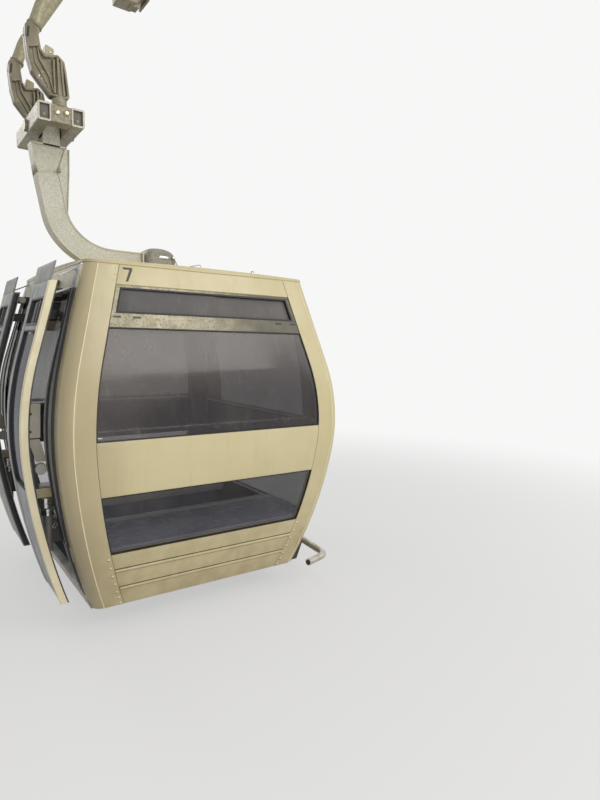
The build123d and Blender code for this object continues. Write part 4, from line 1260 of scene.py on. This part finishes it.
def casting():
    """The near casting: thin web, thick rim all round, ribs, a half-round boss and the horn's socket."""
    outline = rounded_loop(on_casting(*CASTING), 16, 5)
    inner = rounded_loop(inset(on_casting(*CASTING), 13), 12, 5)
    rim = box_run(outline, inner, ARM_Y - CAST_HALF, ARM_Y + CAST_HALF, 3, True)
    boss = lathe([(33, 0), (35, 3), (29, 205), (22, 214), (0, 216)]).moved(NECK_X, ARM_Y, FOOT + CAST_BASE)
    socket = on_casting((-112, 262), (-128, 366), (-161, 380), (-184, 357), (-182, 292), (-170, 240))
    socket = arm_plate(rounded_loop(socket, 8), CAST_HALF - 1)
    return joined([arm_plate(outline, 15), rim, *[rib(*values) for values in RIBS], socket, boss])


def arm_pieces(node, *parts):
    """Pieces of both arms from (name, form, finish) parts of the near one. The first one stands in for
    the node."""
    for side in ENDS:
        for name, form, finish in parts:
            form = form if side == "near" else form.mirrored(1)
            replaces = [f"{node}_{side}"] if name == parts[0][0] else ()
            piece(f"{name}_{side}", form, finish, f"arm_{side}", replaces=replaces, smooth=32)


horn_foot, horn_knee = on_casting((-158, 300), (-88, 510))
horn_line = [horn_foot, horn_knee, (-GRIP_BACK - HORN_BEND, 0), (-GRIP_BACK + 20, 0)]
horn_path = standing(rounded_path(horn_line, HORN_BEND, 16), ARM_Y)
up_horn = unit(horn_path[1] - horn_path[0])
joint = lathe([(42, 0), (43, 3), (43, 15), (38, 19)], 32)
crotch = rounded_loop(on_casting((-84, 214), (-33, 214), (-33, 268), (-80, 283)), 6)
slot_path = rounded_loop(on_casting((-181, 292), (-171, 288), (-163, 350), (-173, 354)), 4)
slots = arm_plate(slot_path, 3.4)
studs = []
for x, height, radius, out in ((-55, 244, 9, 31), (-35, 259, 6, 31), (-115, 101, 8, 20), (-100, 87, 6, 20)):
    studs.append(dome(radius, 14).placed(standing(on_casting((x, height)), ARM_Y - out), TO_NEAR))
arm_pieces(
    "upper_arm",
    ("casting", casting(), "cast_paint"),
    ("horn", sweep(horn_path, ring(HORN_RADIUS, 32), ALONG_ROPE), "horn_coat"),
    ("horn_joint", joint.placed(horn_path[0] + up_horn * 76, up_horn, ALONG_ROPE), "cast_paint"),
    ("crotch_block", arm_plate(crotch, 31, 3), "block_paint"),
    ("arm_slot", slots.moved(0, 2.6 - CAST_HALF) + slots.moved(0, CAST_HALF - 2.6), "rubber"),
    ("arm_studs", joined(studs), "stainless"),
)


# Rope grips

ROPE_RADIUS = 16
GRIP_HALF = 95


def grip():
    """The near grip: a block behind the rope, a long jaw that curves over it and a short moving one."""
    back = [(-188, -50), (-60, -50), (-30, -20), (-30, 44), (-70, 58), (-188, 58)]
    arm = [(-75, 22), (-15, 20), (-10, 46), (-75, 60)]
    lower = [(-90, -60), (-30, -60), (-13, -36), (-18, -14), (-60, -24), (-90, -30)]
    turn = np.radians(np.linspace(200, -25, 22))
    circle = stack(np.cos(turn), np.sin(turn))
    jaw = np.vstack([circle * (ROPE_RADIUS + 17), circle[::-1] * (ROPE_RADIUS + 0.4)])
    return joined([
        arm_plate(rounded_loop(back, 10, 5), 72, 5),
        arm_plate(jaw, GRIP_HALF, 1.5),
        arm_plate(rounded_loop(arm, 6), 60, 3),
        arm_plate(rounded_loop(lower, 5), 38, 3),
    ])


def grip_springs():
    """Two ribbed spring barrels with end caps."""
    barrel = [(23, 0), (24, 3)]
    barrel += [(radius, 6 + 7 * k + step) for k in range(20) for radius, step in ((24, 0), (21.5, 3), (24, 6))]
    barrel += [(24, 150), (22, 153)]
    return lathe(barrel, 24).placed([(x, ARM_Y + 76.5, 32) for x in (-150, -95)], TO_NEAR)


bolt_spots = np.array([(-165, -72, -26), (-105, -72, -26), (-50, -72, 40)])
grip_bolts = bolt(8, 7).placed(bolt_spots, TO_NEAR).both(1).moved(0, ARM_Y)
arm_pieces(
    "rope_grip",
    ("grip", grip(), "cast_paint"),
    ("grip_springs", grip_springs(), "dark_steel"),
    ("grip_bolts", grip_bolts, "stainless"),
)


# Inside of the cabin

PILLAR = 650
BENCH_FRONT = box_of("bench_near")[1, 1]
SEAT_TOP = height_of("bench_near", 1)
BENCH_HALF = HALF_WIDTH + bulge(SEAT_TOP) - WALL - 6
RAIL_BOX = box_of("grab_rails")
RAIL_Y, RAIL_Z = RAIL_BOX[0, 1] + 12.5, RAIL_BOX[:, 2].mean()


def lining(side, low, high):
    """A thin panel just inside a wall, between the posts."""
    return slab(side, low, high, room_less(side, 2), 4, 4 - WALL, 1, 8, 6)


linings = [slab("door", HEADER_LOW + 2, TOP - 2, room_less("door", 2), 3, 0.5 - WALL, 1, 6, 6)]
for side in PANELLED:
    linings.append(lining(side, BAND_LOW + 1, BAND_HIGH - 1))
    linings.append(lining(side, FLOOR_TOP, LOWER_GLASS_LOW - 1))
    linings.append(lining(side, FASCIA_LOW + 1, TOP - 2))
piece("inner_linings", joined(linings), "lining")
ledge = rectangle(-4, 7, -WALL - 8, -14, 2)
ledges = joined(across_wall("blind", height - 4, ledge, 4) for height in (BAND_HIGH, LOWER_GLASS_LOW))
# Pale ledges: a painted highlight along the window ledges.
piece("window_ledges", ledges, "bench_edge")
pillar = partial(pair, "blind", BAND_HIGH + 8, FASCIA_LOW - 6, round_by=1, rows=24)
piece("pillar_covers", pillar(PILLAR, room_less("blind", 3), 4, -30), "post_lining")
piece("pillar_edges", pillar(PILLAR - 12, PILLAR, 8, -28), "bench_edge")


def post_liner(side):
    """Dark liners on the inner faces of a side's two posts."""
    wall = room_less(side, WALL + 2 - SIDES[side].post)
    return pair(side, FLOOR_TOP, TOP - 2, room_less(side, -3), wall, 3, 0.6 - WALL, 1, 40)


piece("post_liners", joined(map(post_liner, WALLS)), "post_lining")

lip_points = [(-70, -1), (-70, 2.5), (3, 2.5), (3, -113), (-8, -116), (-8, -108), (-6, -4)]
lip_ends = [(sign * (BENCH_HALF - 30), BENCH_FRONT, FOOT + SEAT_TOP) for sign in (-1, 1)]
bench_lip = sweep(lip_ends, rounded_loop(lip_points, 1.2, 3) * (-1, 1))
piece("bench_lips", bench_lip.both(1), "bench_edge", slot="bench_shell", smooth=50)
stand = lathe([(21, 0), (21, 3), (15, 6), (7, 8), (7, 38)], 20)
sleeve = lathe([(16, 0), (16, 24)], 20)
stands = stand.placed([(x, RAIL_Y - 42, RAIL_Z) for x in (-500, 0, 500)], ALONG_ROPE)
sleeves = sleeve.placed([(x - 12, RAIL_Y, RAIL_Z) for x in (-500, 0, 500)], (1, 0, 0))
piece("rail_stands", (stands + sleeves).both(1), "stainless", slot="rail_steel")
tread = sweep([(0, -330, 0), (0, 330, 0)], rectangle(-9, 9, -2, 1.6, 1.2))
tread_places = [(57 * k - 600, 0, FOOT + FLOOR_TOP + 0.5) for k in range(22)]
piece("floor_treads", tread.placed(tread_places), "flooring")
kick_ends = [(sign * (BENCH_HALF - 50), BENCH_FRONT - 108, FOOT + FLOOR_TOP + 8) for sign in (-1, 1)]
piece("kick_trims", sweep(kick_ends, rectangle(-8, 1, -8, 26, 1.5)).both(1), "stainless", slot="rail_steel")


# Roof and housing

ROOF_RISE = 30
HOUSING = 115
HOUSING_TOP = height_of("hanger_housing", 1)
CROWN_ROUND = 82
PLATE_TOP = ROOF_CROWN + 10

arc = (HALF_WIDTH, HALF_LENGTH) - camber(9)
rim_path = np.vstack([arc[::-1], arc * (-1, 1), -arc[::-1], arc * (1, -1)])
rim_profile = np.array([(-6, 0.5), (1.5, 0.5), (2.5, 2), (2.5, 6), (1.5, 8), (-6, 9)])
rim = sweep(level(divided(rim_path, 200, True), FOOT + TOP), rim_profile, UP, True)
piece("roof_rim", rim, "cream_paint", smooth=50)


def on_roof(x, y):
    """Places on the roof's dome, a sphere's cap that rises over the roof's half diagonal."""
    radius = (HALF_WIDTH**2 + HALF_LENGTH**2 + ROOF_RISE**2) / (2 * ROOF_RISE)
    x, y = np.broadcast_arrays(x, y)
    return stack(x, y, FOOT + ROOF_CROWN - radius + np.sqrt(radius**2 - x**2 - y**2))


rivet_rows = [on_roof(np.linspace(-620, 620, 11), y) for y in (-800, 800)]
rivet_rows += [on_roof(x, np.linspace(-700, 700, 11)) for x in (-690, 690)]
piece("roof_rivets", dome(6).placed(np.vstack(rivet_rows)), "cream_paint", smooth=60)
roof_rib = sweep(on_roof(360, np.linspace(-740, 740, 16)), rectangle(-16, 16, -3, 5, 3, 4))
piece("roof_ribs", roof_rib.both(0), "cream_paint", smooth=50)

bolt_places = [(x, y) for a, b in ((155, 155), (60, 165)) for x in (-a, a) for y in (-b, b)] + [(165, 0)]
housing_bolts = bolt(9, 8).placed(level(np.array(bolt_places), FOOT + PLATE_TOP + 3))
piece("housing_bolts", housing_bolts, "stainless")


def housing_shell():
    """The housing over the neck's foot: a square column with round corners and a deep round crown. Its
    side is in by r - sqrt(r^2 - t^2) at a distance t over the start of the crown of radius r."""
    t = CROWN_ROUND * np.sin(np.linspace(0, pi / 2, 14))
    rows = [(0, PLATE_TOP - 2)]
    rows += [*zip(CROWN_ROUND - np.sqrt(CROWN_ROUND**2 - t**2), HOUSING_TOP - CROWN_ROUND + t)]
    rings = []
    for step, height in rows:
        half = HOUSING - step
        rings.append(level(centred(2 * half, 2 * half, min(48, half - 1), 9), FOOT + height))
    return skin(np.stack(rings))


foot_plate = prism(centred(380, 380, 48, 7), FOOT + ROOF_CROWN - 12, FOOT + PLATE_TOP, 2)
piece("housing_cover", housing_shell() + foot_plate, "housing_coat", replaces=["hanger_housing"])
catch = prism(centred(68, 18, 3), 0, 7, 1.5).placed((10, -HOUSING, FOOT + 2158), TO_NEAR)
piece("housing_catch", catch, "chrome")
pin = lathe([(11, 0), (12, 2), (12, 12), (8, 16), (0, 17)], 20).placed((82, -HOUSING, FOOT + 2160), TO_NEAR)
piece("housing_pin", pin, "chrome")
belt = level(centred(2 * HOUSING + 2, 2 * HOUSING + 2, 48, 8), FOOT + PLATE_TOP + 6)
clamp = stack(-HOUSING - 8, *(centred(132, 132, 12, 5) + (0, NECK_MIDDLE)).T)
flange = sweep(clamp, rectangle(-9, 12, -6, 6, 2), (1, 0, 0), True)
piece("housing_flange", sweep(belt, ring(5, 8), UP, True) + flange, "neck_edge")
strut = [(112, -105, FOOT + 2089), (295, -115, FOOT + 2134), (350, -115, FOOT + 2030)]
stay = sweep([(90, -125, FOOT + 2150), (125, -150, FOOT + 2060)], ring(4, 8), ALONG_ROPE)
piece("roof_wires", sweep(rounded_path(strut, 8), ring(3, 8), ALONG_ROPE) + stay, "bare_aluminium")
lug_places = on_roof(400, np.array([-700, 700]))
eye = sweep(level(ring(16, 24)), ring(4, 8), UP, True).placed(lug_places + (0, 0, 16), (1, 0, 0))
piece("roof_lugs", prism(centred(60, 44, 6, 4), 0, 4, 1).placed(lug_places) + eye, "stainless")


# Bumper and underframe

BUMPER_RADIUS = 24
BUMPER_X = box_of("bumper_tube")[1, 0] - BUMPER_RADIUS
BUMPER_Z = box_of("bumper_tube")[:, 2].mean()
CLIP_Y = (-560, 560)


def by_clips(*steps):
    """Places at steps from the bumper tube's axis, at each of its two brackets."""
    return [(BUMPER_X + x, clip_y + y, BUMPER_Z + z) for clip_y in CLIP_Y for x, y, z in steps]


bend = [(698, -1010), (895, -950), (BUMPER_X, -600), (BUMPER_X, 600), (895, 950), (698, 1010)]
bumper = level(divided(rounded_path(bend, 90, 9), 200), BUMPER_Z)
tube = sweep(bumper, ring(BUMPER_RADIUS, 28))
piece("bumper_bend", tube, "bumper_steel", replaces=["bumper_tube"], smooth=60)
bore = lathe([(18.5, -3), (18.5, 0.6)], 24).placed(bumper[[0, -1]], bumper[[0, -1]] - bumper[[1, -2]])
piece("bumper_bores", bore, "rubber")
clip = sweep(standing(ring(BUMPER_RADIUS + 2.5, 28)), centred(5, 10), ALONG_ROPE, True)
piece("bumper_clips", clip.placed(by_clips((0, -17, 0), (0, 17, 0))), "dark_steel")
piece("bracket_bolts", bolt(9, 8).placed(by_clips((-60, -7, -55), (-130, -7, -120)), TO_NEAR), "stainless")
slot_line = centred(90, 22, 10.5, 6)
slot_pose = (by_clips((-95, -7, -88)), TO_NEAR, (0.5, 0, 1))
piece("bracket_slots", sweep(level(slot_line), ring(2.5, 6), UP, True).placed(*slot_pose), "stainless")
piece("bracket_slot_holes", prism(slot_line, -4, 0.8).placed(*slot_pose), "rubber")


# Small things on the walls

seven = [(-26, 28), (10, 28), (-18, -40), (-4, -40), (26, 28), (26, 40), (-26, 40)]
piece("cabin_number", laid(prism(seven, -2, 0.4).moved(-504, 1932), "near"), "number_ink")
clip = laid(prism(oblong(-722, 1043, 26, 7), -6, 3, 1), "near")
piece("window_clip", clip, "bare_aluminium", slot="bright_steel")
lip_rivets = [dome(4.5).placed(on_wall(side, (-260, 0, 260), seam - 12, 4), wall_normal(side, seam))
              for side in PANELLED for seam in BOARD_SEAMS]
piece("lip_rivets", joined(lip_rivets), "cream_paint", smooth=60)
foot_at = (HALF_WIDTH - 84, HALF_LENGTH - 66, FOOT - 1)
foot_cap = prism(centred(92, 72, 30, 6), -6, 2, 1).placed(foot_at, (0, 0, -1))
piece("post_feet", foot_cap.both(0).both(1), "rubber")


# Finishes of the frame's own pieces

NODE_FINISHES = {
    "tinted_acrylic": ("end_glass_near", "end_glass_far", "side_glass", "side_lower_glass"),
    "lower_acrylic": ("lower_glass_near", "lower_glass_far"),
    "side_acrylic": ("side_panel_glass",),
    "leaf_acrylic": ("door_glass",),
    "cream_paint": ("door_header", "door_sill", "roof"),
    "flooring": ("floor_pan",),
    "dark_steel": ("underframe",),
    "bench_shell": ("bench_near", "bench_far"),
    "stainless": ("grab_rails",),
    "cast_paint": ("swing_pin",),
    "tube_coat": ("carrier_frame",),
}
for finish, nodes in NODE_FINISHES.items():
    for node in nodes:
        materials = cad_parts[node].data.materials
        materials.clear()
        materials.append(MATERIALS[finish])


# Stage, in metres

FLOOR_Z = FOOT / 1000 - 0.15
CABIN_MIDDLE = np.array([0, 0, FOOT / 1000 + 1])
WORLD_LIGHT = 0.45
STAGE_WHITE = (0.93, 0.93, 0.925, 1)


def seen_share(graph):
    """1 for what the camera, mirrors and panes see, and 0 for light."""
    kinds = ("Camera", "Glossy", "Transmission")
    shown, mirrored, through = [graph.node("ShaderNodeLightPath", output=f"Is {kind} Ray") for kind in kinds]
    return shown + mirrored + through


def stage_floor():
    """A wide pale floor. What the camera, mirrors and panes see of it is partly the backdrop's colour near
    the cabin, where it keeps the shadow, and wholly so far away."""
    graph = Graph(bpy.data.materials.new("stage_floor"))
    away = graph.node("ShaderNodeVectorMath", {0: graph.place}, "Value", operation="LENGTH")
    lit = graph.node("ShaderNodeBsdfDiffuse", {"Color": (0.62, 0.61, 0.60, 1)})
    backdrop = graph.node("ShaderNodeEmission", {"Color": STAGE_WHITE, "Strength": 1})
    share = seen_share(graph) * graph.between(away, 4.2, 9, 0.55, 1)
    mixed = graph.node("ShaderNodeMixShader", {0: share, 1: lit, 2: backdrop})
    graph.node("ShaderNodeOutputMaterial", {"Surface": mixed})
    span = np.linspace(-60, 60, 3)
    form = grid(stack(span, span[:, None], FLOOR_Z))
    mesh = bpy.data.meshes.new("floor")
    mesh.from_pydata(form.points, [], form.faces[0].tolist())
    mesh.materials.append(graph.owner)
    floor = bpy.data.objects.new("floor", mesh)
    bpy.context.scene.collection.objects.link(floor)


def studio_world():
    """Even pale surroundings: one strength for light, and the backdrop's own colour for the camera,
    mirrors and panes."""
    bpy.context.scene.world = bpy.data.worlds.new("studio")
    graph = Graph(bpy.context.scene.world)
    light = graph.node("ShaderNodeBackground", {"Color": (0.97, 0.98, 1, 1), "Strength": WORLD_LIGHT})
    shown = graph.node("ShaderNodeBackground", {"Color": STAGE_WHITE})
    mixed = graph.node("ShaderNodeMixShader", {0: seen_share(graph), 1: light, 2: shown})
    graph.node("ShaderNodeOutputWorld", {"Surface": mixed})


def turned_to(right, up, back):
    """The turn of an object with these axes."""
    return Matrix(np.stack([right, up, back], 1).tolist()).to_quaternion()


def lamp(name, at, size, power, colour=(1, 1, 1)):
    """A square area lamp aimed at the cabin's middle."""
    data = bpy.data.lights.new(name, "AREA")
    data.shape = "SQUARE"
    data.size = size
    data.energy = power
    data.color = colour
    lamp = bpy.data.objects.new(name, data)
    out = unit(at - CABIN_MIDDLE)
    side = unit(np.cross(UP, out))
    lamp.matrix_world = Matrix.LocRotScale(at, turned_to(side, np.cross(out, side), out), None)
    bpy.context.scene.collection.objects.link(lamp)


def camera():
    """The camera at the photograph's place, with its turns about the vertical, the side and the view."""
    data = bpy.data.cameras.new("camera")
    data.lens = 25.617
    data.sensor_width = 36
    data.sensor_fit = "AUTO"
    data.clip_end = 200
    yaw, pitch, roll = radians(-35.8008), radians(-5.6995), radians(-1.2831)
    rz = np.array([[cos(yaw), -sin(yaw), 0], [sin(yaw), cos(yaw), 0], [0, 0, 1]])
    rx = np.array([[1, 0, 0], [0, cos(pitch), -sin(pitch)], [0, sin(pitch), cos(pitch)]])
    rr = np.array([[cos(roll), 0, sin(roll)], [0, 1, 0], [-sin(roll), 0, cos(roll)]])
    right, forward, up = (rz @ rx @ rr).T
    view = bpy.data.objects.new("camera", data)
    view.matrix_world = Matrix.LocRotScale((-1.6100, -4.0698, -2.4692), turned_to(right, up, -forward), None)
    bpy.context.scene.collection.objects.link(view)
    bpy.context.scene.camera = view


stage_floor()
studio_world()
lamp("key", (2.4, -6.2, 1), 3.2, 118, (1, 0.985, 0.96))
lamp("front", (-1.1, -7, -2.2), 2.4, 92, (1, 0.99, 0.97))
lamp("fill", (5, -4.2, -0.8), 3, 40)
lamp("back", (-2.5, 6, 1.5), 3, 110)
lamp("overhead", (1, 0, 3.2), 3, 35)
camera()
bpy.context.scene.view_settings.view_transform = "Standard"
